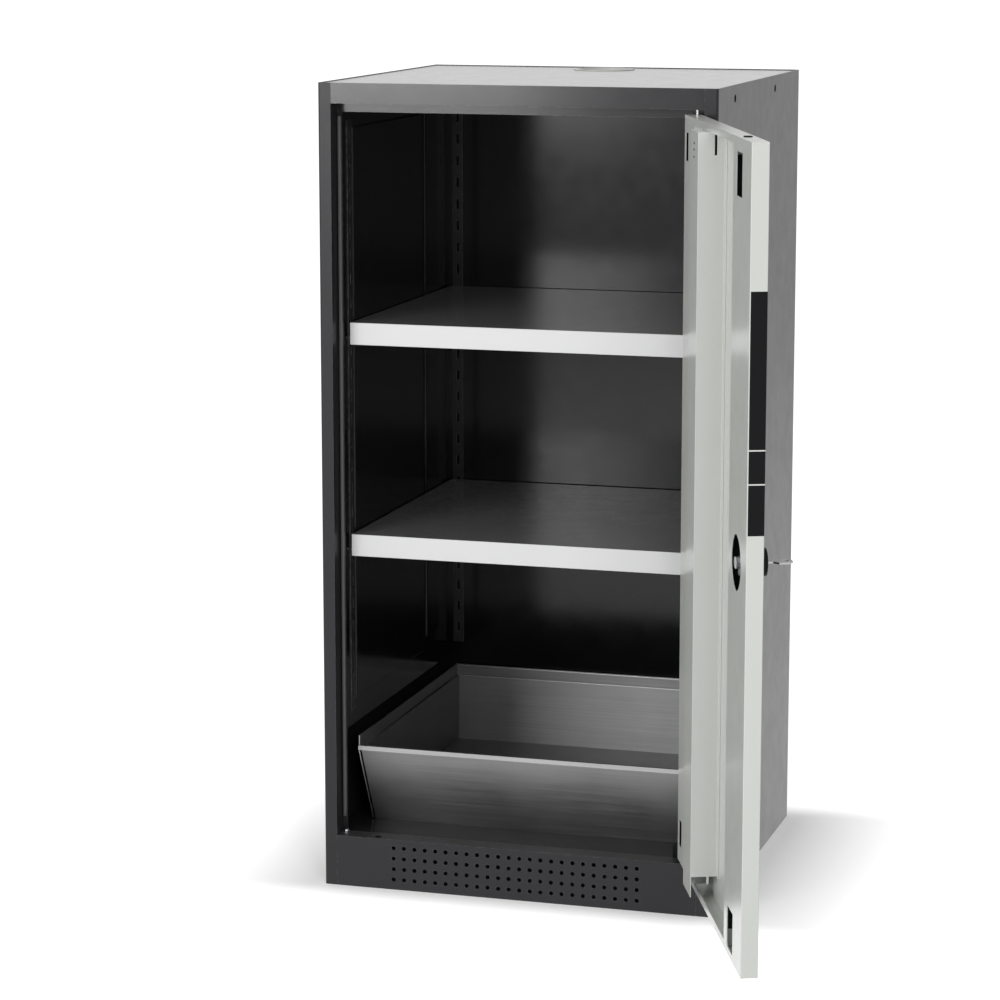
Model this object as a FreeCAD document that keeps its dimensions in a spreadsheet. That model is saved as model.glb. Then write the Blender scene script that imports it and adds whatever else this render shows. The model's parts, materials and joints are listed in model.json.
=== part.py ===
"""Chemical storage cabinet with one inset door, two shelves and a sump tray.

Frame: +X to the right seen from the front, +Y to the back, +Z up.  The origin is
on the floor, at the middle of the cabinet's footprint.  All sizes are millimetres.
"""
import FreeCAD, Part
import os
import re

import Sketcher
from FreeCAD import Placement, Rotation, Vector

doc = FreeCAD.newDocument("chemical_storage_cabinet")
sheet = doc.addObject("Spreadsheet::Sheet", "sizes")

# Driving dimensions: alias, value, what it is
SIZES = [
    # Carcass
    ("body_width", 545, "outside width of the carcass"),
    ("body_depth", 520, "outside depth of the carcass"),
    ("body_height", 1105, "outside height of the carcass"),
    ("sheet_gauge", 1.5, "thickness of the carcass sheets"),
    ("post_width", 18, "front face of each side post"),
    ("post_radius", 3, "rounding of the outer front corners"),
    ("rebate_depth", 28, "front face of the carcass to the door stops"),
    ("stop_width", 6, "width of the side door stops"),
    ("rear_fold", 15, "fold of each side panel behind the back panel"),
    ("rim_rise", 1, "rim of the carcass above the top panel"),
    ("plinth_height", 71, "height of the plinth and of the cabinet floor"),
    ("fascia_height", 27.5, "height of the top rail's front face"),
    ("stop_drop", 12.5, "top door stop below the fascia"),
    ("stop_foot", 10, "return fold under the top door stop"),
    # Perforation of the plinth
    ("vent_diameter", 6, "air holes of the plinth"),
    ("vent_pitch", 15, "distance between air holes"),
    ("vent_columns", 24, "air holes in a row"),
    ("vent_rows", 4, "rows of air holes"),
    ("vent_first", 14.3, "height of the lowest row of air holes"),
    # Inner linings
    ("lining_back", 15, "rear lining's face in front of the carcass back"),
    ("lining_foot", 216, "lower edge of the side linings"),
    ("field_foot", 252, "lower edge of the pressed field"),
    ("field_head", 60, "pressed field below the top panel"),
    ("field_front", 66, "front edge of the pressed field"),
    ("field_rear", 372, "rear edge of the pressed field"),
    ("field_rise", 2.5, "height of the pressed fields"),
    ("field_slope", 1.2, "slope round the crest of a pressed field"),
    ("duct_front", 385, "front edge of the pressed duct cover"),
    ("duct_rear", 457, "rear edge of the pressed duct cover"),
    ("duct_foot", 270, "lower edge of the pressed duct cover"),
    # Shelf uprights and clips
    ("upright_width", 16, "width of a slotted upright"),
    ("upright_gauge", 1.5, "thickness of a slotted upright"),
    ("upright_foot", 238, "lower end of the uprights"),
    ("upright_head", 50, "uprights end below the top panel"),
    ("upright_front", 45, "front edge of the front uprights"),
    ("upright_inset", 6, "rear uprights from the side linings"),
    ("slot_width", 4, "slots of the uprights"),
    ("slot_height", 14, "slots of the uprights"),
    ("slot_pitch", 32, "distance between slots"),
    ("clip_width", 10, "width of a shelf clip"),
    ("clip_gauge", 4, "thickness of a shelf clip"),
    ("clip_reach", 9, "clip under the fold of the shelf"),
    # Shelves
    ("shelf_gap", 4.8, "shelf from the side linings"),
    ("shelf_front", 40, "front face of the shelves"),
    ("shelf_back_gap", 5, "shelf from the rear lining"),
    ("shelf_lip", 30, "height of the shelf's front trim"),
    ("shelf_fold", 20, "height of the side and rear folds"),
    ("trim_foot", 7, "fold under the front trim"),
    ("upper_shelf_top", 780, "height of the upper shelf"),
    ("lower_shelf_top", 488, "height of the lower shelf"),
    # Sump tray
    ("tray_gauge", 1.5, "sheet of the tray"),
    ("tray_gap", 12, "tray's rim from the side linings"),
    ("tray_front", 40, "front edge of the tray's rim"),
    ("tray_back_gap", 5, "tray from the rear lining"),
    ("tray_rim_height", 116, "fold line of the walls above the tray's underside"),
    ("tray_upstand", 17, "rim above the fold line at the sides and back"),
    ("tray_ledge", 3, "step of the rim outside the walls"),
    ("tray_floor_rise", 18, "tray's floor above the lower edges of its walls"),
    ("tray_lean_side", 2, "lean of the side walls"),
    ("tray_lean_front", 55, "lean of the front wall"),
    ("tray_lean_back", 7, "lean of the back wall"),
    ("tray_hem", 6, "height of the front hem"),
    # Air outlet
    ("outlet_bore", 75, "bore of the air outlet"),
    ("outlet_wall", 1.5, "wall of the air outlet's collar"),
    ("outlet_flange", 88, "flange of the air outlet"),
    ("outlet_depth", 24, "collar below the top panel"),
    ("outlet_back", 60, "middle of the outlet from the carcass back"),
    ("plenum_width", 260, "air box under the top panel"),
    ("plenum_depth", 104, "air box under the top panel"),
    ("plenum_height", 36, "air box under the top panel"),
    ("plenum_slot", 6, "width of the air box's slots"),
    ("plenum_slot_end", 12, "air box's slots from its front and rear"),
    ("plenum_slots", 8, "slots of the air box"),
    ("plenum_slot_pitch", 28, "distance between the air box's slots"),
    # Plugs in the sides
    ("plug_diameter", 11, "hole plugs in the sides"),
    ("plug_head", 15, "inner collar of a hole plug"),
    ("plug_inset", 0.3, "hole plugs behind the outer face"),
    ("plug_drop", 18, "plugs below the top edge"),
    ("plug_front", 100, "front plug from the front face"),
    ("plug_rear", 355, "rear plug from the front face"),
    # Door leaf, in its own frame: u from the free edge, w from the outer face
    ("door_open_angle", 112, "opening of the door as stored"),
    ("door_thickness", 21, "thickness of the door"),
    ("door_gauge", 1.2, "sheet of the door"),
    ("door_free_gap", 1.5, "gap at the free edge"),
    ("door_hinge_gap", 2.2, "gap at the hinge edge"),
    ("door_foot_gap", 6, "gap above the plinth"),
    ("door_head_gap", 6.5, "gap below the fascia"),
    ("door_corner", 1, "rounding of the door's upright edges"),
    ("pivot_inset", 8, "pivot from the door's hinge edge"),
    ("pivot_depth", 5.5, "pivot behind the outer face"),
    ("free_lip", 125, "inner face beside the free edge"),
    ("hinge_lip", 79, "inner face beside the hinge edge"),
    ("end_lip", 9, "inner face at the top and bottom"),
    ("access_left", 61, "rod access slots from the free edge"),
    ("access_width", 42, "width of the rod access slots"),
    ("access_height", 52, "height of the rod access slots"),
    ("access_end", 17, "rod access slots from the ends of the door"),
    ("access_corner", 6, "corner radius of the rod access slots"),
    ("hinge_slot_inset", 8, "hinge side slots from the hinge edge"),
    ("hinge_slot_width", 24, "width of the hinge side slots"),
    ("hinge_slot_height", 36, "height of the hinge side slots"),
    ("hinge_slot_end", 22, "hinge side slots from the ends of the door"),
    ("peep_diameter", 9, "hole over the upper pivot block"),
    ("peep_end", 10, "hole over the pivot block from the top"),
    ("peep_inset", 15, "hole over the pivot block from the hinge edge"),
    # Stiffener in the door
    ("hat_start", 298, "stiffener from the free edge"),
    ("hat_width", 60, "width of the stiffener"),
    ("hat_depth", 36, "inner face of the stiffener from the door's outer face"),
    ("hat_flange", 12, "feet of the stiffener on the outer skin"),
    ("hat_relief", 27, "cut at the foot of the stiffener's wall"),
    ("hat_tab", 10, "tab at the foot of the wall"),
    ("hat_tab_depth", 12, "place of the tab and the slit across the door"),
    ("hat_tab_width", 3, "width of the tab and of the slit"),
    ("hat_slit", 28, "slit in the wall below the upper end"),
    # Grip in the free edge
    ("grip_foot", 537, "lower end of the grip above the door's foot"),
    ("grip_height", 286, "height of the grip"),
    ("grip_width", 40, "grip on the outer face"),
    ("grip_margin", 8, "rim round the finger recess"),
    ("grip_recess", 14, "depth of the finger recess"),
    ("inlay_foot", 60, "lower light line above the grip's foot"),
    ("inlay_rise", 40, "upper light line above the lower one"),
    ("inlay_height", 1.6, "height of a light line"),
    ("inlay_depth", 0.8, "depth of a light line"),
    # Lock
    ("lock_inset", 71, "lock's axis from the free edge"),
    ("lock_height", 492, "lock's axis above the door's foot"),
    ("window_diameter", 68, "round window behind the lock"),
    ("housing_diameter", 62, "housing disc of the lock"),
    ("housing_depth", 5, "thickness of the housing disc"),
    ("spindle_diameter", 10, "spindle of the lock"),
    ("fit_gap", 0.05, "radial clearance of a running fit"),
    ("play", 0.3, "clearance between moving faces"),
    ("escutcheon_diameter", 38, "fixed ring on the outer face"),
    ("escutcheon_depth", 4, "thickness of the fixed ring"),
    ("knob_diameter", 34, "turning knob round the key"),
    ("knob_depth", 10.8, "thickness of the turning knob"),
    ("cam_arm", 16, "pins of the cam from the axis"),
    ("cam_width", 13, "width of the cam's arms"),
    ("cam_skew", 4.6, "slanted corners of the cam's arms"),
    ("cam_gauge", 3, "thickness of the cam"),
    ("cam_pin", 4, "diameter of the cam's pins"),
    ("cam_slot_play", 0.7, "play of a pin in its slot"),
    ("nut_width", 14, "width across flats of the nut"),
    ("nut_depth", 7, "thickness of the nut"),
    ("key_slot", 3, "width of the key slot"),
    ("key_blade", 9, "height of the key's blade"),
    ("key_neck", 8, "key's neck outside the knob"),
    ("key_bow", 24, "length and width of the key's bow"),
    ("key_hole", 7, "hole in the key's bow"),
    ("bow_shoulder", 6, "slanted shoulders of the key's bow"),
    ("bow_eye", 15.6, "hole in the bow from its neck"),
    ("key_gauge", 2.4, "thickness of the key"),
    # Locking rods
    ("rod_diameter", 8, "locking rods"),
    ("rod_depth", 10.5, "rods behind the outer face"),
    ("rod_end_gap", 8, "rods inside the ends of the door"),
    ("rod_plate_width", 14.5, "slotted end plate of a rod"),
    ("rod_plate_margin", 9, "end plate beyond the middle of its slot"),
    ("rod_plate_reach", 27, "end plate from the lock's axis to the round rod"),
    ("rod_plate_gauge", 3, "slotted end plate of a rod"),
    ("rod_hole", 11, "holes for the rods"),
    ("guide_width", 16, "guide blocks of the rods"),
    ("guide_height", 16, "guide blocks of the rods"),
    ("guide_near", 110, "inner guide from the lock's axis"),
    ("guide_far", 80, "outer guide from the ends of the door"),
    # Pivots
    ("pin_diameter", 5, "pivot pins"),
    ("pin_grip", 14, "pivot pin inside the door"),
    ("block_width", 24, "pivot block in the door's corner"),
    ("block_height", 18, "pivot block in the door's corner"),
    ("washer_diameter", 12, "thrust washer under the door"),
    ("bracket_height", 4, "pivot brackets"),
    ("bracket_width", 27, "pivot brackets"),
    ("bracket_depth", 25.5, "pivot brackets"),
    ("arrester_inset", 11, "block beside the lower pivot from the hinge side's stop"),
    ("arrester_width", 22, "block beside the lower pivot"),
    ("arrester_depth", 11, "block beside the lower pivot"),
    ("arrester_height", 17, "block beside the lower pivot"),
    ("stud_diameter", 8, "metal stud in the free side's rebate"),
    ("stud_height", 4, "metal stud in the free side's rebate"),
    ("stud_round", 2.4, "rounding of the stud's crown"),
    ("stud_inset", 2, "stud from the post and the stop"),
]
ALIASES = set()
for row, (alias, size, note) in enumerate(SIZES, start=1):
    sheet.set(f"A{row}", note)
    sheet.set(f"B{row}", str(size))
    sheet.setAlias(f"B{row}", alias)
    ALIASES.add(alias)
doc.recompute()

pieces = []
cut_features = []


def ref(text):
    """Turns a formula of plain size names into one that reads the sheet."""
    return re.sub(r"[A-Za-z_]\w*", lambda m: "sizes." + m[0] if m[0] in ALIASES else m[0], str(text))


def number(text):
    """Present value of a formula."""
    return float(sheet.evalExpression(ref(text)))


# Formulas that several pieces share
TOP = "(body_height - rim_rise)"
TOP_UNDER = "(body_height - rim_rise - sheet_gauge)"
FASCIA_FOOT = "(body_height - fascia_height)"
STOP_FOOT_LEVEL = "(body_height - fascia_height - stop_drop)"
INNER_LEFT = "(post_width + stop_width)"
LINING_Y = "(body_depth - lining_back)"
BACK_Y = "(body_depth - 2 * sheet_gauge)"
STOP_BACK = "(rebate_depth + sheet_gauge)"
DOOR_WIDTH = "(body_width - 2 * post_width - door_free_gap - door_hinge_gap)"
DOOR_FOOT = "(plinth_height + door_foot_gap)"
DOOR_HEAD = "(body_height - fascia_height - door_head_gap)"
PIVOT_X = "(body_width - post_width - door_hinge_gap - pivot_inset)"
PIVOT_U = f"({DOOR_WIDTH} - pivot_inset)"
LOCK_Z = f"({DOOR_FOOT} + lock_height)"
GRIP_FOOT = f"({DOOR_FOOT} + grip_foot)"
GRIP_HEAD = f"({DOOR_FOOT} + grip_foot + grip_height)"
ARM_SIDE = "(cam_arm * cos(45))"
UPPER_ROD_U = "(lock_inset + cam_arm)"
LOWER_ROD_U = "(lock_inset - cam_arm)"
FREE_EDGE_X = "(post_width + door_free_gap)"
HOUSING_W = "(door_gauge + housing_depth)"
PLATE_W = "(rod_depth - rod_plate_gauge / 2)"
CAM_W = "(rod_depth + rod_plate_gauge / 2 + play)"
NUT_W = "(rod_depth + rod_plate_gauge / 2 + play + cam_gauge)"


def place(item, frame):
    """Seats a piece: carcass pieces from the left front floor corner, door pieces on the pivot."""
    if frame == "carcass":
        item.setExpression("Placement.Base.x", ref("-body_width / 2"))
        item.setExpression("Placement.Base.y", ref("-body_depth / 2"))
        return
    turned_x = f"({PIVOT_U} * cos(door_open_angle) - pivot_depth * sin(door_open_angle))"
    turned_y = f"({PIVOT_U} * sin(door_open_angle) + pivot_depth * cos(door_open_angle))"
    item.Placement = Placement(Vector(0, 0, 0), Rotation(Vector(0, 0, 1), number("door_open_angle")))
    item.setExpression("Placement.Rotation.Angle", ref("door_open_angle"))
    item.setExpression("Placement.Base.x", ref(f"{PIVOT_X} - body_width / 2 - {turned_x}"))
    item.setExpression("Placement.Base.y", ref(f"pivot_depth - body_depth / 2 - {turned_y}"))


def keep(item, label, frame):
    """Names a finished sub-part, seats it and puts it on the list."""
    item.Label = label
    place(item, frame)
    pieces.append(item)
    return item


# Sketches and features of a body
def new_body(label, frame="carcass"):
    return keep(doc.addObject("PartDesign::Body", label), label, frame)


def rectangle(x, y):
    """Corners of a rectangle between two pairs of formulas."""
    return [(x[0], y[0]), (x[1], y[0]), (x[1], y[1]), (x[0], y[1])]


def circle(x, y, diameter):
    return {"x": x, "y": y, "diameter": diameter}


def mirrored(corners):
    """The same outline on the other side of the carcass."""
    return [(f"body_width - ({x})", y) for x, y in reversed(corners)]


def draw_corners(sketch, corners):
    first = sketch.GeometryCount
    count = len(corners)
    points = [Vector(number(x), number(y), 0) for x, y in corners]
    for index in range(count):
        sketch.addGeometry(Part.LineSegment(points[index], points[(index + 1) % count]))
    for index in range(count):
        following = first + (index + 1) % count
        sketch.addConstraint(Sketcher.Constraint("Coincident", first + index, 2, following, 1))
    for index, (x, y) in enumerate(corners):
        line = first + index
        spot = points[index]
        across = sketch.addConstraint(Sketcher.Constraint("DistanceX", -1, 1, line, 1, spot.x))
        sketch.setExpression(f"Constraints[{across}]", ref(x))
        up = sketch.addConstraint(Sketcher.Constraint("DistanceY", -1, 1, line, 1, spot.y))
        sketch.setExpression(f"Constraints[{up}]", ref(y))


def draw_circle(sketch, x, y, diameter):
    centre = Vector(number(x), number(y), 0)
    ring = sketch.addGeometry(Part.Circle(centre, Vector(0, 0, 1), number(diameter) / 2))
    across = sketch.addConstraint(Sketcher.Constraint("DistanceX", -1, 1, ring, 3, centre.x))
    sketch.setExpression(f"Constraints[{across}]", ref(x))
    up = sketch.addConstraint(Sketcher.Constraint("DistanceY", -1, 1, ring, 3, centre.y))
    sketch.setExpression(f"Constraints[{up}]", ref(y))
    size = sketch.addConstraint(Sketcher.Constraint("Diameter", ring, number(diameter)))
    sketch.setExpression(f"Constraints[{size}]", ref(diameter))


def new_sketch(body, plane, level, loops):
    """A sketch on one of the body's own planes, moved along its normal to a level."""
    sketch = body.newObject("Sketcher::SketchObject", body.Name + "_sketch")
    support = [p for p in body.Origin.OriginFeatures if p.Role == plane + "_Plane"]
    sketch.AttachmentSupport = [(support[0], "")]
    sketch.MapMode = "FlatFace"
    sign = "-" if plane == "XZ" else ""
    sketch.setExpression("AttachmentOffset.Base.z", ref(f"{sign}({level})"))
    for loop in loops:
        if isinstance(loop, dict):
            draw_circle(sketch, **loop)
        else:
            draw_corners(sketch, loop)
    return sketch


def add(body, plane, low, high, *loops):
    """Pads loops between two levels along the plane's axis."""
    start = high if plane == "XZ" else low
    sketch = new_sketch(body, plane, start, loops)
    pad = body.newObject("PartDesign::Pad", body.Name + "_pad")
    pad.Profile = sketch
    pad.setExpression("Length", ref(f"({high}) - ({low})"))
    return pad


def remove(body, plane, low, high, *loops):
    """Pockets loops between two levels along the plane's axis."""
    start = low if plane == "XZ" else high
    sketch = new_sketch(body, plane, start, loops)
    pocket = body.newObject("PartDesign::Pocket", body.Name + "_pocket")
    pocket.Profile = sketch
    pocket.setExpression("Length", ref(f"({high}) - ({low})"))
    cut_features.append(pocket)
    return pocket


def loft(body, kind, lower, upper):
    """Lofts between two (level, loop) sections that lie across the Z axis."""
    sections = [new_sketch(body, "XY", level, [loop]) for level, loop in (lower, upper)]
    feature = body.newObject("PartDesign::" + kind, body.Name + "_loft")
    feature.Profile = sections[0]
    feature.Sections = [sections[1]]
    feature.Ruled = True
    if kind == "SubtractiveLoft":
        cut_features.append(feature)
    return feature


def repeat(body, feature, axis, pitch, count):
    """Repeats a feature along an axis of its sketch."""
    pattern = body.newObject("PartDesign::LinearPattern", body.Name + "_pattern")
    pattern.Originals = [feature]
    pattern.Direction = (feature.Profile[0], [axis])
    pattern.setExpression("Length", ref(f"({pitch}) * (({count}) - 1)"))
    pattern.setExpression("Occurrences", ref(count))
    body.Tip = pattern
    return pattern


def dress_edges(body, kind, size, wanted):
    """Fillets or chamfers the edges of the body that the test picks."""
    doc.recompute()
    base = body.Tip
    names = [f"Edge{i}" for i, edge in enumerate(base.Shape.Edges, start=1) if wanted(edge)]
    feature = body.newObject("PartDesign::" + kind, body.Name + "_edges")
    feature.Base = (base, names)
    feature.setExpression("Radius" if kind == "Fillet" else "Size", ref(size))
    return feature


def is_upright(edge, x, y):
    """True for a vertical edge of a body at a place in its own frame."""
    ends = [v.Point for v in edge.Vertexes]
    if len(ends) != 2:
        return False
    return all(abs(p.x - x) < 0.01 and abs(p.y - y) < 0.01 for p in ends)


# Simple solids
def box(name, x, y, z):
    item = doc.addObject("Part::Box", name)
    for side, axis, span in (("Length", "x", x), ("Width", "y", y), ("Height", "z", z)):
        item.setExpression(side, ref(f"({span[1]}) - ({span[0]})"))
        item.setExpression("Placement.Base." + axis, ref(span[0]))
    return item


AXES = {
    "X": Rotation(Vector(0, 1, 0), 90),
    "Y": Rotation(Vector(1, 0, 0), -90),
    "Z": Rotation(),
}


def cylinder(name, diameter, axis, middle, low, high):
    """A cylinder along one axis; middle gives the two other coordinates in order."""
    item = doc.addObject("Part::Cylinder", name)
    item.setExpression("Radius", ref(f"({diameter}) / 2"))
    item.setExpression("Height", ref(f"({high}) - ({low})"))
    item.Placement = Placement(Vector(0, 0, 0), AXES[axis])
    others = [letter for letter in "XYZ" if letter != axis]
    item.setExpression("Placement.Base." + axis.lower(), ref(low))
    for letter, value in zip(others, middle):
        item.setExpression("Placement.Base." + letter.lower(), ref(value))
    return item


def fuse(name, items):
    item = doc.addObject("Part::MultiFuse", name)
    item.Shapes = items
    return item


def cut(name, base, tool):
    item = doc.addObject("Part::Cut", name)
    item.Base = base
    item.Tool = tool
    return item


def group(name, items):
    item = doc.addObject("Part::Compound", name)
    item.Links = items
    return item


# Side panels with the front posts and the door stops
def side_panel(label, side):
    corners = [
        ("0", "0"),
        ("post_width", "0"),
        ("post_width", "rebate_depth"),
        (INNER_LEFT, "rebate_depth"),
        (INNER_LEFT, STOP_BACK),
        ("post_width - sheet_gauge", STOP_BACK),
        ("post_width - sheet_gauge", "sheet_gauge"),
        ("sheet_gauge", "sheet_gauge"),
        ("sheet_gauge", "body_depth - sheet_gauge"),
        ("rear_fold", "body_depth - sheet_gauge"),
        ("rear_fold", "body_depth"),
        ("0", "body_depth"),
    ]
    inner_folds = rectangle(("sheet_gauge", INNER_LEFT), ("sheet_gauge", STOP_BACK))
    plug_x = ("0", "sheet_gauge")
    outer_x = 0.0
    if side == "right":
        corners = mirrored(corners)
        inner_folds = mirrored(inner_folds)
        plug_x = ("body_width - sheet_gauge", "body_width")
        outer_x = number("body_width")
    body = new_body(label)
    add(body, "XY", "0", "body_height", corners)
    remove(body, "XY", TOP_UNDER, "body_height", inner_folds)
    remove(body, "XY", "0", "sheet_gauge", inner_folds)
    holes = [circle(y, "body_height - plug_drop", "plug_diameter") for y in ("plug_front", "plug_rear")]
    remove(body, "YZ", *plug_x, *holes)
    dress_edges(body, "Fillet", "post_radius", lambda edge: is_upright(edge, outer_x, 0.0))
    return body


side_panel("left_side_panel", "left")
side_panel("right_side_panel", "right")


# Back, top, base and floor sheets
def flat_sheets():
    between = ("sheet_gauge", "body_width - sheet_gauge")
    inside = rectangle(between, ("sheet_gauge", BACK_Y))

    back = new_body("back_panel")
    add(back, "XY", "0", "body_height", rectangle(between, (BACK_Y, "body_depth - sheet_gauge")))

    top = new_body("top_panel")
    add(top, "XY", TOP_UNDER, TOP, inside)
    outlet = circle("body_width / 2", "body_depth - outlet_back", "outlet_bore + 2 * outlet_wall")
    remove(top, "XY", TOP_UNDER, TOP, outlet)

    base = new_body("base_plate")
    add(base, "XY", "0", "sheet_gauge", inside)

    floor = new_body("floor_panel")
    inner_right = f"body_width - {INNER_LEFT}"
    tongue = [
        (INNER_LEFT, "rebate_depth"),
        (inner_right, "rebate_depth"),
        (inner_right, STOP_BACK),
        (between[1], STOP_BACK),
        (between[1], BACK_Y),
        (between[0], BACK_Y),
        (between[0], STOP_BACK),
        (INNER_LEFT, STOP_BACK),
    ]
    add(floor, "XY", "plinth_height - sheet_gauge", "plinth_height", tongue)


flat_sheets()


# Plinth with its air holes, and the holes for the lower rod and pivot
def plinth():
    body = new_body("perforated_plinth")
    width = ("post_width", "body_width - post_width")
    profile = [
        ("0", "0"),
        ("sheet_gauge", "0"),
        ("sheet_gauge", "plinth_height - sheet_gauge"),
        ("rebate_depth", "plinth_height - sheet_gauge"),
        ("rebate_depth", "plinth_height"),
        ("0", "plinth_height"),
    ]
    add(body, "YZ", *width, profile)
    vents_width = "(vent_pitch * (vent_columns - 1))"
    first = circle(f"(body_width - {vents_width}) / 2", "vent_first", "vent_diameter")
    vent = remove(body, "XZ", "0", "sheet_gauge", first)
    row = repeat(body, vent, "H_Axis", "vent_pitch", "vent_columns")
    row.Mode = "Extent"
    row.Direction2 = (vent.Profile[0], ["V_Axis"])
    row.setExpression("Length2", ref("vent_pitch * (vent_rows - 1)"))
    row.setExpression("Occurrences2", ref("vent_rows"))
    rod_hole = circle(f"{FREE_EDGE_X} + {LOWER_ROD_U}", "rod_depth", "rod_hole")
    remove(body, "XY", "plinth_height - sheet_gauge", "plinth_height", rod_hole)


plinth()


# Top rail: fascia, underside and top door stop in one folded sheet
def top_rail():
    body = new_body("top_front_rail")
    fascia = [
        ("0", FASCIA_FOOT),
        ("rebate_depth", FASCIA_FOOT),
        ("rebate_depth", f"{FASCIA_FOOT} + sheet_gauge"),
        ("sheet_gauge", f"{FASCIA_FOOT} + sheet_gauge"),
        ("sheet_gauge", "body_height"),
        ("0", "body_height"),
    ]
    add(body, "YZ", "post_width", "body_width - post_width", fascia)
    stop = [
        ("rebate_depth", STOP_FOOT_LEVEL),
        ("rebate_depth + stop_foot", STOP_FOOT_LEVEL),
        ("rebate_depth + stop_foot", f"{STOP_FOOT_LEVEL} + sheet_gauge"),
        (STOP_BACK, f"{STOP_FOOT_LEVEL} + sheet_gauge"),
        (STOP_BACK, f"{FASCIA_FOOT} + sheet_gauge"),
        ("rebate_depth", f"{FASCIA_FOOT} + sheet_gauge"),
    ]
    add(body, "YZ", INNER_LEFT, f"body_width - {INNER_LEFT}", stop)
    rod_hole = circle(f"{FREE_EDGE_X} + {UPPER_ROD_U}", "rod_depth", "rod_hole")
    pin_hole = circle(PIVOT_X, "pivot_depth", "pin_diameter")
    remove(body, "XY", FASCIA_FOOT, f"{FASCIA_FOOT} + sheet_gauge", rod_hole, pin_hole)


top_rail()


# Inner linings with their pressed fields
def side_lining(label, side):
    body = new_body(label)
    face = INNER_LEFT
    crest = f"{INNER_LEFT} + field_rise"
    behind = f"{INNER_LEFT} - sheet_gauge"
    spans = {"sheet": (behind, face), "field": (face, crest), "hollow": (behind, f"{crest} - sheet_gauge")}
    if side == "right":
        for key, (low, high) in spans.items():
            spans[key] = (f"body_width - ({high})", f"body_width - ({low})")
    add(body, "YZ", *spans["sheet"], rectangle((STOP_BACK, LINING_Y), ("lining_foot", TOP_UNDER)))
    head = f"{TOP_UNDER} - field_head"
    fields = [
        (("field_front", "field_rear"), ("field_foot", head)),
        (("duct_front", "duct_rear"), ("duct_foot", head)),
    ]
    for across, up in fields:
        add(body, "YZ", *spans["field"], rectangle(across, up))
        inner_across = (f"{across[0]} + sheet_gauge", f"{across[1]} - sheet_gauge")
        inner_up = (f"{up[0]} + sheet_gauge", f"{up[1]} - sheet_gauge")
        remove(body, "YZ", *spans["hollow"], rectangle(inner_across, inner_up))
    face_x = number("field_rise + " + INNER_LEFT)
    if side == "right":
        face_x = number("body_width") - face_x

    def on_crest(edge):
        return all(abs(vertex.Point.x - face_x) < 0.01 for vertex in edge.Vertexes)

    dress_edges(body, "Chamfer", "field_slope", on_crest)
    return body


side_lining("left_inner_lining", "left")
side_lining("right_inner_lining", "right")


def rear_lining():
    body = new_body("rear_inner_lining")
    across = ("sheet_gauge", "body_width - sheet_gauge")
    outline = rectangle(across, (LINING_Y, f"{LINING_Y} + sheet_gauge"))
    add(body, "XY", "plinth_height", TOP_UNDER, outline)


rear_lining()


# Slotted uprights that carry the shelf clips
def upright(label, side, end):
    body = new_body(label)
    levels = ("upright_foot", f"{TOP_UNDER} - upright_head")
    if end == "front":
        thickness = (INNER_LEFT, f"{INNER_LEFT} + upright_gauge")
        across = ("upright_front", "upright_front + upright_width")
        plane = "YZ"
    else:
        thickness = (f"{LINING_Y} - upright_gauge", LINING_Y)
        across = (f"{INNER_LEFT} + upright_inset", f"{INNER_LEFT} + upright_inset + upright_width")
        plane = "XZ"
    if side == "right" and end == "front":
        thickness = (f"body_width - ({thickness[1]})", f"body_width - ({thickness[0]})")
    if side == "right" and end == "rear":
        across = (f"body_width - ({across[1]})", f"body_width - ({across[0]})")
    add(body, plane, *thickness, rectangle(across, levels))
    middle = f"(({across[0]}) + ({across[1]})) / 2"
    slot_across = (f"{middle} - slot_width / 2", f"{middle} + slot_width / 2")
    slot_up = ("upright_foot + slot_pitch / 2", "upright_foot + slot_pitch / 2 + slot_height")
    slot = remove(body, plane, *thickness, rectangle(slot_across, slot_up))
    repeat(body, slot, "V_Axis", "slot_pitch", f"floor(({levels[1]} - upright_foot) / slot_pitch)")


for upright_side in ("left", "right"):
    for upright_end in ("front", "rear"):
        upright(f"{upright_end}_{upright_side}_upright", upright_side, upright_end)


# Shelf clips: each hooks into an upright and reaches under a fold of the shelf
def shelf_clips(label, shelf_top):
    fold_foot = f"({shelf_top} - shelf_fold)"
    up = (f"{fold_foot} - clip_gauge", fold_foot)
    front_y = ("upright_front + (upright_width - clip_width) / 2",
               "upright_front + (upright_width + clip_width) / 2")
    front_x = (f"{INNER_LEFT} + upright_gauge", f"{INNER_LEFT} + upright_gauge + clip_reach")
    rear_y = (f"{LINING_Y} - upright_gauge - clip_reach", f"{LINING_Y} - upright_gauge")
    rear_x = (f"{INNER_LEFT} + upright_inset + (upright_width - clip_width) / 2",
              f"{INNER_LEFT} + upright_inset + (upright_width + clip_width) / 2")
    clips = []
    for corner, x, y in (("front", front_x, front_y), ("rear", rear_x, rear_y)):
        right_x = (f"body_width - ({x[1]})", f"body_width - ({x[0]})")
        clips.append(box(f"{label}_{corner}_left", x, y, up))
        clips.append(box(f"{label}_{corner}_right", right_x, y, up))
    keep(group(label, clips), label, "carcass")


shelf_clips("upper_shelf_clips", "upper_shelf_top")
shelf_clips("lower_shelf_clips", "lower_shelf_top")


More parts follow.
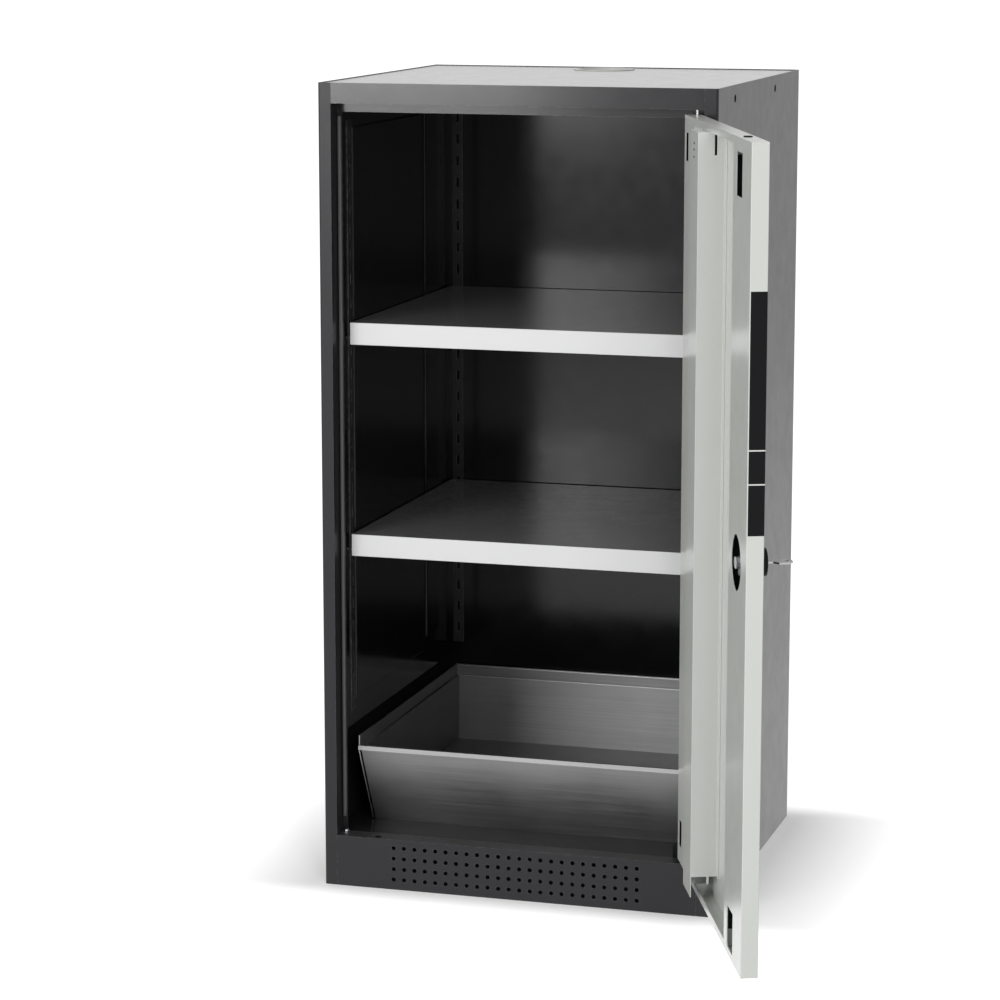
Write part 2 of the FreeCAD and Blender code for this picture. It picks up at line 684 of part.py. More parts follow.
# Shelves: a folded pan and a front trim
def shelf(name, top):
    left = f"({INNER_LEFT} + shelf_gap)"
    right = f"(body_width - {left})"
    pan_front = "(shelf_front + sheet_gauge)"
    back = f"({LINING_Y} - shelf_back_gap)"
    g = "sheet_gauge"
    pan = new_body(f"{name}_shelf_pan")
    add(pan, "XY", f"{top} - shelf_lip + {g}", top, rectangle((left, right), (pan_front, back)))
    hollow = rectangle((f"{left} + {g}", f"{right} - {g}"), (f"{pan_front} + {g}", f"{back} - {g}"))
    remove(pan, "XY", f"{top} - shelf_lip + {g}", f"{top} - {g}", hollow)
    short_folds = rectangle((left, right), (f"{pan_front} + {g}", back))
    remove(pan, "XY", f"{top} - shelf_lip + {g}", f"{top} - shelf_fold", short_folds)

    trim = new_body(f"{name}_shelf_trim")
    profile = [
        ("shelf_front", f"{top} - shelf_lip"),
        ("shelf_front + trim_foot", f"{top} - shelf_lip"),
        ("shelf_front + trim_foot", f"{top} - shelf_lip + {g}"),
        (pan_front, f"{top} - shelf_lip + {g}"),
        (pan_front, top),
        ("shelf_front", top),
    ]
    add(trim, "YZ", left, right, profile)


shelf("upper", "upper_shelf_top")
shelf("lower", "lower_shelf_top")


# Sump tray: leaning walls round a raised floor, a hem in front and an upstand on the other three sides
def sump_tray():
    body = new_body("sump_tray")
    g = "tray_gauge"
    foot = "plinth_height"
    fold = "(plinth_height + tray_rim_height)"
    left = f"({INNER_LEFT} + tray_gap)"
    back = f"({LINING_Y} - tray_back_gap)"
    front = "(tray_front + tray_ledge)"
    wall_left = f"({left} + tray_ledge)"
    wall_back = f"({back} - tray_ledge)"

    def plan(inset, lean_side, lean_front, lean_back):
        x0 = f"{wall_left} + {inset} + {lean_side}"
        y0 = f"{front} + {inset} + {lean_front}"
        y1 = f"{wall_back} - {inset} - {lean_back}"
        return rectangle((x0, f"body_width - ({x0})"), (y0, y1))

    lean = ("tray_lean_side", "tray_lean_front", "tray_lean_back")
    loft(body, "AdditiveLoft", (foot, plan("0", *lean)), (fold, plan("0", "0", "0", "0")))
    loft(body, "SubtractiveLoft", (foot, plan(g, *lean)), (fold, plan(g, "0", "0", "0")))
    lean_at_floor = [f"({part} * (1 - tray_floor_rise / tray_rim_height))" for part in lean]
    level = f"({foot} + tray_floor_rise)"
    add(body, "XY", level, f"{level} + {g}", plan(f"{g} / 2", *lean_at_floor))

    def three_sides(x0, x1, y1, y2):
        """A band along the left, back and right edges, open at the front."""
        return [
            (x0, front),
            (x1, front),
            (x1, y1),
            (f"body_width - ({x1})", y1),
            (f"body_width - ({x1})", front),
            (f"body_width - ({x0})", front),
            (f"body_width - ({x0})", y2),
            (x0, y2),
        ]

    ledge = three_sides(left, f"{wall_left} + {g}", f"{wall_back} - {g}", back)
    add(body, "XY", f"{fold} - {g}", fold, ledge)
    upstand = three_sides(left, f"{left} + {g}", f"{back} - {g}", back)
    add(body, "XY", fold, f"{fold} + tray_upstand", upstand)
    hem = rectangle((left, f"body_width - {left}"), ("tray_front", f"{front} + {g}"))
    add(body, "XY", f"{fold} - tray_hem / 2", f"{fold} + tray_hem / 2", hem)


sump_tray()


# Air outlet collar and the air box under the top panel
def air_outlet():
    y = "body_depth - outlet_back"
    collar = new_body("air_outlet_collar")
    middle = ("body_width / 2", y)
    bore = circle(*middle, "outlet_bore")
    add(collar, "XY", TOP, "body_height", circle(*middle, "outlet_flange"), bore)
    tube = circle(*middle, "outlet_bore + 2 * outlet_wall")
    add(collar, "XY", f"{TOP} - outlet_depth", TOP, tube, bore)

    plenum = new_body("air_box")
    x = ("(body_width - plenum_width) / 2", "(body_width + plenum_width) / 2")
    depth = (f"{LINING_Y} - plenum_depth", LINING_Y)
    g = "sheet_gauge"
    foot = f"({TOP_UNDER} - plenum_height)"
    add(plenum, "XY", foot, TOP_UNDER, rectangle(x, depth))
    hollow = rectangle((f"{x[0]} + {g}", f"{x[1]} - {g}"), (f"{depth[0]} + {g}", f"{depth[1]} - {g}"))
    remove(plenum, "XY", f"{foot} + {g}", TOP_UNDER, hollow)
    slots_width = "(plenum_slot_pitch * (plenum_slots - 1))"
    slot_x = f"(body_width - {slots_width}) / 2"
    slot_span = (f"{slot_x} - plenum_slot / 2", f"{slot_x} + plenum_slot / 2")
    slot_y = (f"{depth[0]} + plenum_slot_end", f"{depth[1]} - plenum_slot_end")
    slot = remove(plenum, "XY", foot, f"{foot} + {g}", rectangle(slot_span, slot_y))
    repeat(plenum, slot, "H_Axis", "plenum_slot_pitch", "plenum_slots")


air_outlet()


# Hole plugs in the sides
def side_plugs():
    plugs = []
    z = "body_height - plug_drop"
    for name, y in (("front", "plug_front"), ("rear", "plug_rear")):
        for side in ("left", "right"):
            spans = [
                ("plug_inset", "sheet_gauge", "plug_diameter"),
                ("sheet_gauge", "2 * sheet_gauge", "plug_head"),
            ]
            if side == "right":
                spans = [(f"body_width - {high}", f"body_width - {low}", d) for low, high, d in spans]
            discs = []
            for low, high, diameter in spans:
                disc_name = f"{name}_{side}_plug_disc"
                discs.append(cylinder(disc_name, diameter, "X", (y, z), low, high))
            plugs.append(fuse(f"{name}_{side}_plug", discs))
    keep(group("side_hole_plugs", plugs), "side_hole_plugs", "carcass")


side_plugs()


# Door pivots on the carcass
def carcass_pivots():
    pin_y = "pivot_depth"
    right = "body_width - post_width"
    rail_inside = f"({FASCIA_FOOT} + sheet_gauge)"
    span_x = (f"{right} - bracket_width", right)
    span_y = ("sheet_gauge", "sheet_gauge + bracket_depth")
    hinge_stop = f"(body_width - {INNER_LEFT})"

    upper_z = (rail_inside, f"{rail_inside} + bracket_height")
    plate = box("upper_pivot_plate", span_x, span_y, upper_z)
    hole = cylinder("upper_pivot_hole", "pin_diameter", "Z", (PIVOT_X, pin_y), *upper_z)
    keep(cut("upper_pivot_bracket", plate, hole), "upper_pivot_bracket", "carcass")
    upper_pin = (f"{DOOR_HEAD} - pin_grip", upper_z[1])
    pin = cylinder("upper_pin_bar", "pin_diameter", "Z", (PIVOT_X, pin_y), *upper_pin)
    keep(group("upper_pivot_pin", [pin]), "upper_pivot_pin", "carcass")

    lower_z = ("plinth_height", "plinth_height + bracket_height")
    foot = box("lower_pivot_plate", span_x, span_y, lower_z)
    block_x = (f"{hinge_stop} - arrester_inset - arrester_width", f"{hinge_stop} - arrester_inset")
    block_y = (span_y[1], f"{span_y[1]} + arrester_depth")
    block_z = ("plinth_height", "plinth_height + arrester_height")
    block = box("door_arrester_block", block_x, block_y, block_z)
    both = fuse("lower_pivot_casting", [foot, block])
    hole = cylinder("lower_pivot_hole", "pin_diameter", "Z", (PIVOT_X, pin_y), *lower_z)
    keep(cut("lower_pivot_bracket", both, hole), "lower_pivot_bracket", "carcass")
    lower_pin = ("plinth_height", f"{DOOR_FOOT} + pin_grip")
    pin = cylinder("lower_pin_bar", "pin_diameter", "Z", (PIVOT_X, pin_y), *lower_pin)
    keep(group("lower_pivot_pin", [pin]), "lower_pivot_pin", "carcass")

    washer_z = (lower_z[1], DOOR_FOOT)
    disc = cylinder("washer_disc", "washer_diameter", "Z", (PIVOT_X, "pivot_depth"), *washer_z)
    bore = cylinder("washer_bore", "pin_diameter", "Z", (PIVOT_X, "pivot_depth"), *washer_z)
    keep(cut("door_thrust_washer", disc, bore), "door_thrust_washer", "carcass")


carcass_pivots()


def rebate_stud():
    body = new_body("rebate_stud")
    middle = circle("post_width + stud_inset + stud_diameter / 2",
                    "rebate_depth - stud_inset - stud_diameter / 2", "stud_diameter")
    add(body, "XY", "plinth_height", "plinth_height + stud_height", middle)
    crown = number("plinth_height + stud_height")
    dress_edges(body, "Fillet", "stud_round", lambda edge: abs(edge.BoundBox.ZMin - crown) < 0.01)


rebate_stud()


# Door shell: outer skin, four edges and the inner lips
def door_shell():
    body = new_body("door_shell", "door")
    t = "door_gauge"
    inner = f"(door_thickness - {t})"
    full = rectangle(("0", DOOR_WIDTH), ("0", "door_thickness"))
    add(body, "XY", DOOR_FOOT, DOOR_HEAD, full)
    corners = [(0.0, 0.0), (0.0, number("door_thickness"))]
    corners += [(number(DOOR_WIDTH), y) for x, y in corners]
    dress_edges(body, "Fillet", "door_corner", lambda edge: any(is_upright(edge, x, y) for x, y in corners))
    within = (f"{DOOR_FOOT} + {t}", f"{DOOR_HEAD} - {t}")
    remove(body, "XY", *within, rectangle((t, f"{DOOR_WIDTH} - {t}"), (t, inner)))
    add(body, "XY", *within, rectangle((f"free_lip - {t}", "free_lip"), (t, inner)))

    through_lip = (inner, "door_thickness")
    window = rectangle(("free_lip", f"{DOOR_WIDTH} - hinge_lip"),
                       (f"{DOOR_FOOT} + end_lip", f"{DOOR_HEAD} - end_lip"))
    access_u = ("access_left", "access_left + access_width")
    access_low = (f"{DOOR_FOOT} + access_end / 2", f"{DOOR_FOOT} + access_end / 2 + access_height")
    access_high = (f"{DOOR_HEAD} - access_end - access_height", f"{DOOR_HEAD} - access_end")
    slot_u = (f"{DOOR_WIDTH} - hinge_slot_inset - hinge_slot_width", f"{DOOR_WIDTH} - hinge_slot_inset")
    slot_low = (f"{DOOR_FOOT} + hinge_slot_end", f"{DOOR_FOOT} + hinge_slot_end + hinge_slot_height")
    slot_high = (f"{DOOR_HEAD} - hinge_slot_end - hinge_slot_height", f"{DOOR_HEAD} - hinge_slot_end")
    remove(body, "XZ", *through_lip,
           window,
           rectangle(access_u, access_low),
           rectangle(access_u, access_high),
           rectangle(slot_u, slot_low),
           rectangle(slot_u, slot_high),
           circle("lock_inset", LOCK_Z, "window_diameter"),
           circle(f"{DOOR_WIDTH} - peep_inset", f"{DOOR_HEAD} - peep_end", "peep_diameter"))
    low_outer = (number(access_u[1]), number(access_low[0]), number(access_low[1]))

    def slot_corner(edge):
        ends = [v.Point for v in edge.Vertexes]
        across = len(ends) == 2 and abs(ends[0].y - ends[1].y) > number(t) / 2
        on_side = all(abs(p.x - low_outer[0]) < 0.01 for p in ends)
        at_end = any(all(abs(p.z - z) < 0.01 for p in ends) for z in low_outer[1:])
        return across and on_side and at_end

    dress_edges(body, "Fillet", "access_corner", slot_corner)
    remove(body, "XZ", "0", t, circle("lock_inset", LOCK_Z, "spindle_diameter + 2 * fit_gap"))
    grip = rectangle(("0", "grip_width"), (GRIP_FOOT, GRIP_HEAD))
    remove(body, "XZ", "0", inner, grip)
    remove(body, "XY", f"{DOOR_HEAD} - {t}", DOOR_HEAD,
           circle(UPPER_ROD_U, "rod_depth", "rod_hole"),
           circle(PIVOT_U, "pivot_depth", "pin_diameter + 2 * play"))
    remove(body, "XY", DOOR_FOOT, f"{DOOR_FOOT} + {t}",
           circle(LOWER_ROD_U, "rod_depth", "rod_hole"),
           circle(PIVOT_U, "pivot_depth", "pin_diameter + 2 * play"))


door_shell()


# Stiffener: a hat section on the outer skin, its near wall cut back at the foot
def hat_stiffener():
    body = new_body("door_stiffener", "door")
    t = "door_gauge"
    near = "hat_start"
    far = "(hat_start + hat_width)"
    foot = f"({DOOR_FOOT} + end_lip)"
    head = f"({DOOR_HEAD} - end_lip)"
    profile = [
        (f"{near} - hat_flange", t),
        (f"{near} + {t}", t),
        (f"{near} + {t}", f"hat_depth - {t}"),
        (f"{far} - {t}", f"hat_depth - {t}"),
        (f"{far} - {t}", t),
        (f"{far} + hat_flange", t),
        (f"{far} + hat_flange", f"2 * {t}"),
        (far, f"2 * {t}"),
        (far, "hat_depth"),
        (near, "hat_depth"),
        (near, f"2 * {t}"),
        (f"{near} - hat_flange", f"2 * {t}"),
    ]
    add(body, "XY", foot, head, profile)
    wall_u = (f"{near} - hat_flange", f"{near} + {t}")
    wall_foot = f"{foot} + hat_relief"
    remove(body, "XY", foot, wall_foot, rectangle(wall_u, (t, f"hat_depth - {t}")))
    tab = ("hat_tab_depth", "hat_tab_depth + hat_tab_width")
    add(body, "XY", f"{wall_foot} - hat_tab", wall_foot, rectangle((near, f"{near} + {t}"), tab))
    remove(body, "YZ", near, f"{near} + {t}", rectangle(tab, (f"{head} - hat_slit", head)))


hat_stiffener()


# Grip: a moulding in the free edge with a finger recess in the outer face
def edge_grip():
    body = new_body("door_edge_grip", "door")
    back = "(door_thickness - door_gauge)"
    add(body, "XY", GRIP_FOOT, GRIP_HEAD, rectangle(("0", "grip_width"), ("0", back)))
    recess = rectangle(("grip_margin", "grip_width - grip_margin"),
                       (f"{GRIP_FOOT} + grip_margin", f"{GRIP_HEAD} - grip_margin"))
    remove(body, "XZ", "0", "grip_recess", recess)
    inlays = []
    for rise in ("inlay_foot", "inlay_foot + inlay_rise"):
        level = f"({GRIP_FOOT} + {rise})"
        up = (level, f"{level} + inlay_height")
        remove(body, "XY", *up, rectangle(("0", "inlay_depth"), ("0", back)))
        inlays.append(box("grip_inlay", ("0", "inlay_depth"), ("0", back), up))
    keep(group("grip_inlays", inlays), "grip_inlays", "door")


edge_grip()


# Lock: housing and ring stay with the door; spindle, knob, key, cam and nut turn
def lock():
    axis = ("lock_inset", LOCK_Z)
    bore = "spindle_diameter + 2 * fit_gap"
    disc = cylinder("housing_disc", "housing_diameter", "Y", axis, "door_gauge", HOUSING_W)
    hole = cylinder("housing_bore", bore, "Y", axis, "door_gauge", HOUSING_W)
    keep(cut("lock_housing", disc, hole), "lock_housing", "door")
    ring = cylinder("ring_disc", "escutcheon_diameter", "Y", axis, "-escutcheon_depth", "0")
    hole = cylinder("ring_bore", bore, "Y", axis, "-escutcheon_depth", "0")
    keep(cut("lock_escutcheon", ring, hole), "lock_escutcheon", "door")

    knob_low = "(-escutcheon_depth - play - knob_depth)"
    knob_high = "(-escutcheon_depth - play)"
    spindle = cylinder("spindle_bar", "spindle_diameter", "Y", axis, knob_high, CAM_W)
    keep(group("lock_spindle", [spindle]), "lock_spindle", "door")
    knob = new_body("lock_knob", "door")
    add(knob, "XZ", knob_low, knob_high, circle(*axis, "knob_diameter"))
    slot = rectangle(("lock_inset - key_blade / 2", "lock_inset + key_blade / 2"),
                     (f"{LOCK_Z} - key_gauge / 2", f"{LOCK_Z} + key_gauge / 2"))
    remove(knob, "XZ", knob_low, f"{knob_high} - key_slot", slot)

    key = new_body("key", "door")
    half = "key_blade / 2"
    bow = "key_bow / 2"
    blade_end = f"({knob_high} - key_slot)"
    neck = f"({knob_low} - key_neck)"
    outline = [
        (f"lock_inset - {half}", blade_end),
        (f"lock_inset - {half}", neck),
        (f"lock_inset - {bow}", f"{neck} - bow_shoulder"),
        (f"lock_inset - {bow}", f"{neck} - (key_bow - bow_shoulder)"),
        (f"lock_inset - {half}", f"{neck} - key_bow"),
        (f"lock_inset + {half}", f"{neck} - key_bow"),
        (f"lock_inset + {bow}", f"{neck} - (key_bow - bow_shoulder)"),
        (f"lock_inset + {bow}", f"{neck} - bow_shoulder"),
        (f"lock_inset + {half}", neck),
        (f"lock_inset + {half}", blade_end),
    ]
    eye = circle("lock_inset", f"{neck} - bow_eye", "key_hole")
    add(key, "XY", f"{LOCK_Z} - key_gauge / 2", f"{LOCK_Z} + key_gauge / 2", outline, eye)

    cam = new_body("lock_cam", "door")
    reach = f"({ARM_SIDE} + cam_width / 2)"
    arms = [
        (f"lock_inset + {reach}", f"{LOCK_Z} - {reach}"),
        (f"lock_inset + {reach}", f"{LOCK_Z} - {ARM_SIDE} + cam_skew"),
        (f"lock_inset - {ARM_SIDE} + cam_skew", f"{LOCK_Z} + {reach}"),
        (f"lock_inset - {reach}", f"{LOCK_Z} + {reach}"),
        (f"lock_inset - {reach}", f"{LOCK_Z} + {ARM_SIDE} - cam_skew"),
        (f"lock_inset + {ARM_SIDE} - cam_skew", f"{LOCK_Z} - {reach}"),
    ]
    add(cam, "XZ", CAM_W, f"{CAM_W} + cam_gauge", arms)
    pins = [
        circle(f"lock_inset + {ARM_SIDE}", f"{LOCK_Z} - {ARM_SIDE}", "cam_pin"),
        circle(f"lock_inset - {ARM_SIDE}", f"{LOCK_Z} + {ARM_SIDE}", "cam_pin"),
    ]
    add(cam, "XZ", PLATE_W, CAM_W, *pins)

    nut = doc.addObject("Part::Prism", "nut_hexagon")
    nut.Polygon = 6
    nut.setExpression("Circumradius", ref("nut_width / 2 / cos(30)"))
    nut.setExpression("Height", ref("nut_depth"))
    nut.Placement = Placement(Vector(0, 0, 0), AXES["Y"])
    nut.setExpression("Placement.Base.x", ref("lock_inset"))
    nut.setExpression("Placement.Base.y", ref(NUT_W))
    nut.setExpression("Placement.Base.z", ref(LOCK_Z))
    keep(group("lock_nut", [nut]), "lock_nut", "door")


lock()


# Locking rods: a round rod and a slotted plate that a pin of the cam moves
def locking_rod(label, rod_u, sign, end_level):
    toward = "+" if sign > 0 else "-"
    away = "-" if sign > 0 else "+"
    plate_z = f"({LOCK_Z} {away} {ARM_SIDE})"
    outer_u = f"({rod_u} {toward} rod_diameter / 2)"
    inner_u = f"({outer_u} {away} rod_plate_width)"
    span_u = (inner_u, outer_u) if sign > 0 else (outer_u, inner_u)
    span_w = (PLATE_W, f"{PLATE_W} + rod_plate_gauge")
    start = f"({LOCK_Z} {toward} rod_plate_reach)"
    slot_end = f"({plate_z} {away} rod_plate_margin)"
    span_z = (slot_end, start) if sign > 0 else (start, slot_end)
    plate = box(label + "_plate", span_u, span_w, span_z)
    near_u = f"(lock_inset {toward} {ARM_SIDE} {away} (cam_pin / 2 + cam_slot_play))"
    far_u = f"(lock_inset {toward} cam_arm {toward} (cam_pin / 2 + cam_slot_play))"
    slot_u = (near_u, far_u) if sign > 0 else (far_u, near_u)
    slot_half = "(cam_pin / 2 + cam_slot_play)"
    slot = box(label + "_slot", slot_u, span_w, (f"{plate_z} - {slot_half}", f"{plate_z} + {slot_half}"))
    span = (start, end_level) if sign > 0 else (end_level, start)
    bar = cylinder(label + "_bar", "rod_diameter", "Z", (rod_u, "rod_depth"), *span)
    rod = fuse(label + "_body", [cut(label + "_slotted_plate", plate, slot), bar])
    keep(group(label, [rod]), label, "door")


locking_rod("upper_locking_rod", UPPER_ROD_U, 1, f"({DOOR_HEAD} - rod_end_gap)")
locking_rod("lower_locking_rod", LOWER_ROD_U, -1, f"({DOOR_FOOT} + rod_end_gap)")


# Guides of the rods and pivot blocks inside the door's corners
def door_fittings():
    half = "guide_width / 2"
    guides = []
    levels = {
        "upper_near": (UPPER_ROD_U, f"({LOCK_Z} + guide_near)"),
        "upper_far": (UPPER_ROD_U, f"({DOOR_HEAD} - guide_far - guide_height)"),
        "lower_near": (LOWER_ROD_U, f"({LOCK_Z} - guide_near - guide_height)"),
        "lower_far": (LOWER_ROD_U, f"({DOOR_FOOT} + guide_far)"),
    }
    for name, (rod_u, foot) in levels.items():
        up = (foot, f"{foot} + guide_height")
        span_u = (f"{rod_u} - {half}", f"{rod_u} + {half}")
        block = box(name + "_guide_block", span_u, ("door_gauge", "door_thickness - door_gauge"), up)
        bore = cylinder(name + "_guide_bore", "rod_diameter + 2 * fit_gap", "Z", (rod_u, "rod_depth"), *up)
        guides.append(cut(name + "_guide", block, bore))
    keep(group("rod_guides", guides), "rod_guides", "door")

    t = "door_gauge"
    span_u = (f"{DOOR_WIDTH} - {t} - block_width", f"{DOOR_WIDTH} - {t}")
    span_w = (t, f"door_thickness - {t}")
    ends = {
        "upper_pivot_block": (f"({DOOR_HEAD} - {t} - block_height)", f"({DOOR_HEAD} - {t})"),
        "lower_pivot_block": (f"({DOOR_FOOT} + {t})", f"({DOOR_FOOT} + {t} + block_height)"),
    }
    for label, up in ends.items():
        block = box(label + "_body", span_u, span_w, up)
        bore = cylinder(label + "_bore", "pin_diameter + 2 * fit_gap", "Z", (PIVOT_U, "pivot_depth"), *up)
        keep(cut(label, block, bore), label, "door")


door_fittings()


# Checks on the finished document, then one file for each sub-part
doc.recompute()
for item in doc.Objects:
    if "Invalid" in item.State or "Error" in item.State:
        raise RuntimeError(f"{item.Name} failed: {item.State}")
for feature in cut_features:
    if feature.Shape.Volume > feature.BaseFeature.Shape.Volume - 0.1:
        raise RuntimeError(f"{feature.Name} removes nothing")
for piece in pieces:
    if piece.Shape.isNull() or not piece.Shape.isValid():
        raise RuntimeError(f"{piece.Label} has no valid shape")

os.makedirs("parts", exist_ok=True)
for piece in pieces:
    piece.Shape.exportStep(f"parts/{piece.Label}.step")
    box_size = piece.Shape.BoundBox
    print(f"{piece.Label}: {len(piece.Shape.Solids)} solid(s), {piece.Shape.Volume / 1000:.1f} cm3, "
          f"z {box_size.ZMin:.1f} to {box_size.ZMax:.1f}")
print(len(pieces), "sub-parts")
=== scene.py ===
# %% [markdown]
# # A chemical storage cabinet, dressed over its CAD frame
#
# The real object is a low steel cabinet: dark powder coated sheet outside, dark lacquer inside, a pale
# door on two pins, two folded shelves and a bare steel sump tray. The imported CAD model gives every piece
# its place and size. This lesson adds what a camera sees and a CAD model leaves out: folded edges that
# catch the light, paint with its orange peel, brushed steel, weld seams, screws and rivets.

# %% Load the frame and keep its record
import json
from math import radians

import bpy
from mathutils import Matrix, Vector


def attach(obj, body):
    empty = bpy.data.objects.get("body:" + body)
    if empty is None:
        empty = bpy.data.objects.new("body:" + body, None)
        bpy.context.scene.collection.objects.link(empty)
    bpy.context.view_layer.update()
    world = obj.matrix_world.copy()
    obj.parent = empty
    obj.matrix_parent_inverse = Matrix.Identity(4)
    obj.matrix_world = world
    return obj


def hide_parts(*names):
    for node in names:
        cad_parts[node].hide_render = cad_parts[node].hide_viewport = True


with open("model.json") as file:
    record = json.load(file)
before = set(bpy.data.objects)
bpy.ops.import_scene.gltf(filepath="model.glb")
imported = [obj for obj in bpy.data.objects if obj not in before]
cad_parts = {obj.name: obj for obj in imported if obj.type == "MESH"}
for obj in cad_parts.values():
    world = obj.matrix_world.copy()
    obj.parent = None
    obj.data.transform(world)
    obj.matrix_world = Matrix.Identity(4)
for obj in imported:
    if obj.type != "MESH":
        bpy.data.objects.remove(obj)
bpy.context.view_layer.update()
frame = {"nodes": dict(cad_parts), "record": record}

MM = 0.001
nodes = frame["nodes"]

# %% [markdown]
# ## The camera
#
# A photograph of a product is usually taken from a few metres with a long lens, which keeps upright edges
# upright. Place and direction can be guessed and nudged, or worked out from the corners of the object.
# Here they were worked out: the camera stands 4.4 m in front, to the right of the cabinet and slightly
# above it, looks a little to the left and ten degrees down, and has a 118 mm lens.

# %% Set up the camera
CAMERA_PLACE = (1.2035, -4.384, 1.336)
CAMERA_TILT, CAMERA_TURN = 79.70, 16.52
FOCAL_LENGTH, FILM_WIDTH = 117.76, 36.0

camera_data = bpy.data.cameras.new("product_camera")
camera = bpy.data.objects.new("product_camera", camera_data)
bpy.context.collection.objects.link(camera)
camera_data.sensor_width = FILM_WIDTH
camera_data.lens = FOCAL_LENGTH
camera_data.clip_end = 300.0
camera.location = CAMERA_PLACE
camera.rotation_euler = (radians(CAMERA_TILT), 0.0, radians(CAMERA_TURN))
bpy.context.scene.camera = camera
bpy.context.scene.view_settings.view_transform = "Standard"
print("camera at", tuple(round(v, 3) for v in camera.location))

# %% [markdown]
# ## Selecting, the first habit to learn
#
# An operator acts on everything that is selected, and the loaded nodes all arrive selected. So each step
# starts from nothing selected, and then picks its own piece, or in edit mode its own faces or edges, by
# where they lie or which way they face.

# %% Helpers that select
def select_nothing():
    """Object mode, with nothing selected."""
    if bpy.context.object and bpy.context.object.mode != "OBJECT":
        bpy.ops.object.mode_set(mode="OBJECT")
    bpy.ops.object.select_all(action="DESELECT")


def select_only(piece):
    """Makes one piece the selected and active one."""
    select_nothing()
    piece.select_set(True)
    bpy.context.view_layer.objects.active = piece


def edit_with_nothing_selected(piece, parts="FACE"):
    """Edit mode on one piece, with nothing in it selected."""
    select_only(piece)
    bpy.ops.object.mode_set(mode="EDIT")
    bpy.ops.mesh.select_mode(type=parts)
    bpy.ops.mesh.select_all(action="DESELECT")


def pick_faces(piece, wanted):
    """Selects, in edit mode, the faces whose centre and normal meet a condition."""
    bpy.ops.object.mode_set(mode="OBJECT")
    for face in piece.data.polygons:
        face.select = bool(wanted(face.center, face.normal))
    bpy.ops.object.mode_set(mode="EDIT")


def apply_modifiers(piece):
    """Applies every modifier of a piece, in order."""
    select_only(piece)
    for name in [modifier.name for modifier in piece.modifiers]:
        bpy.ops.object.modifier_apply(modifier=name)


# %% [markdown]
# ## Studio: floor, world and lamps
#
# The cabinet stands on a white sweep in soft light. A huge pale floor shows the shadow. To the camera it
# also glows, least at the cabinet's foot and fully from two hand widths away, which makes the background
# white without one more lamp on the object and keeps the soft shadow along the sides. The low glow near the
# foot is also painted shade: it darkens a band around the cabinet beyond what its own shadow does. In front
# of the cabinet that darker band is a third as wide as beside it. In a mirror the floor glows brightest near
# the cabinet. That is a painted reflection, and satin paint seen at a low angle mirrors it, lighter towards
# the bottom.

# %% Lay the floor
def new_material(name):
    """A material with its Principled shader, and the node tree to add to."""
    material = bpy.data.materials.new(name)
    material.use_nodes = True
    return material, material.node_tree, material.node_tree.nodes["Principled BSDF"]


def link(tree, source, target):
    """Joins an output socket to an input socket."""
    tree.links.new(source, target)


def looked_at(tree):
    """1 for a ray from the camera or one that a mirror or glass sends on, 0 for diffuse light."""
    rays = tree.nodes.new("ShaderNodeLightPath")
    most = rays.outputs["Is Camera Ray"]
    for kind in ("Is Glossy Ray", "Is Transmission Ray"):
        larger = tree.nodes.new("ShaderNodeMath")
        larger.operation = "MAXIMUM"
        link(tree, most, larger.inputs[0])
        link(tree, rays.outputs[kind], larger.inputs[1])
        most = larger.outputs["Value"]
    return most


FLOOR_SIZE = 240.0
HALF_FOOT = (0.2725, 0.26, 0.0)
PAINTED_SHADE_THINNER_IN_FRONT = (1.0, 3.0, 1.0)

bpy.ops.mesh.primitive_plane_add(size=FLOOR_SIZE, location=(0, 0, 0))
floor = bpy.context.object
floor.name = "studio_floor"

floor_paint, tree, shader = new_material("studio_floor_paint")
shader.inputs["Base Color"].default_value = (0.80, 0.80, 0.80, 1)
shader.inputs["Roughness"].default_value = 0.9
shader.inputs["Specular IOR Level"].default_value = 0.1
shader.inputs["Emission Color"].default_value = (1, 1, 1, 1)
place = tree.nodes.new("ShaderNodeTexCoord")


def vector_step(operation, first, second=None):
    """One step of vector arithmetic on the floor's coordinates."""
    step = tree.nodes.new("ShaderNodeVectorMath")
    step.operation = operation
    link(tree, first, step.inputs[0])
    if second is not None:
        step.inputs[1].default_value = second
    return step.outputs["Value" if operation == "LENGTH" else "Vector"]


def glow_by_distance(distance, ray, near, far, reach):
    """Glow for one kind of ray, which goes from its near to its far value over a reach in metres."""
    fade = tree.nodes.new("ShaderNodeMapRange")
    fade.inputs["From Min"].default_value, fade.inputs["From Max"].default_value = reach
    fade.inputs["To Min"].default_value = near
    fade.inputs["To Max"].default_value = far
    link(tree, distance, fade.inputs["Value"])
    part = tree.nodes.new("ShaderNodeMath")
    part.operation = "MULTIPLY"
    link(tree, fade.outputs["Result"], part.inputs[0])
    link(tree, ray, part.inputs[1])
    return part.outputs["Value"]


from_middle = vector_step("LENGTH", place.outputs["Object"])
beyond_foot = vector_step("SUBTRACT", vector_step("ABSOLUTE", place.outputs["Object"]), HALF_FOOT)
beyond_foot = vector_step("MAXIMUM", beyond_foot, (0.0, 0.0, 0.0))
from_foot = vector_step("LENGTH", vector_step("MULTIPLY", beyond_foot, PAINTED_SHADE_THINNER_IN_FRONT))

rays = tree.nodes.new("ShaderNodeLightPath")
glow = tree.nodes.new("ShaderNodeMath")
glow.operation = "ADD"
# Painted shade: the glow the camera sees is lowest at the cabinet's foot, a darker band around it.
camera_glow_with_painted_shade = glow_by_distance(from_foot, rays.outputs["Is Camera Ray"], near=0.25, far=0.75, reach=(0.02, 0.19))
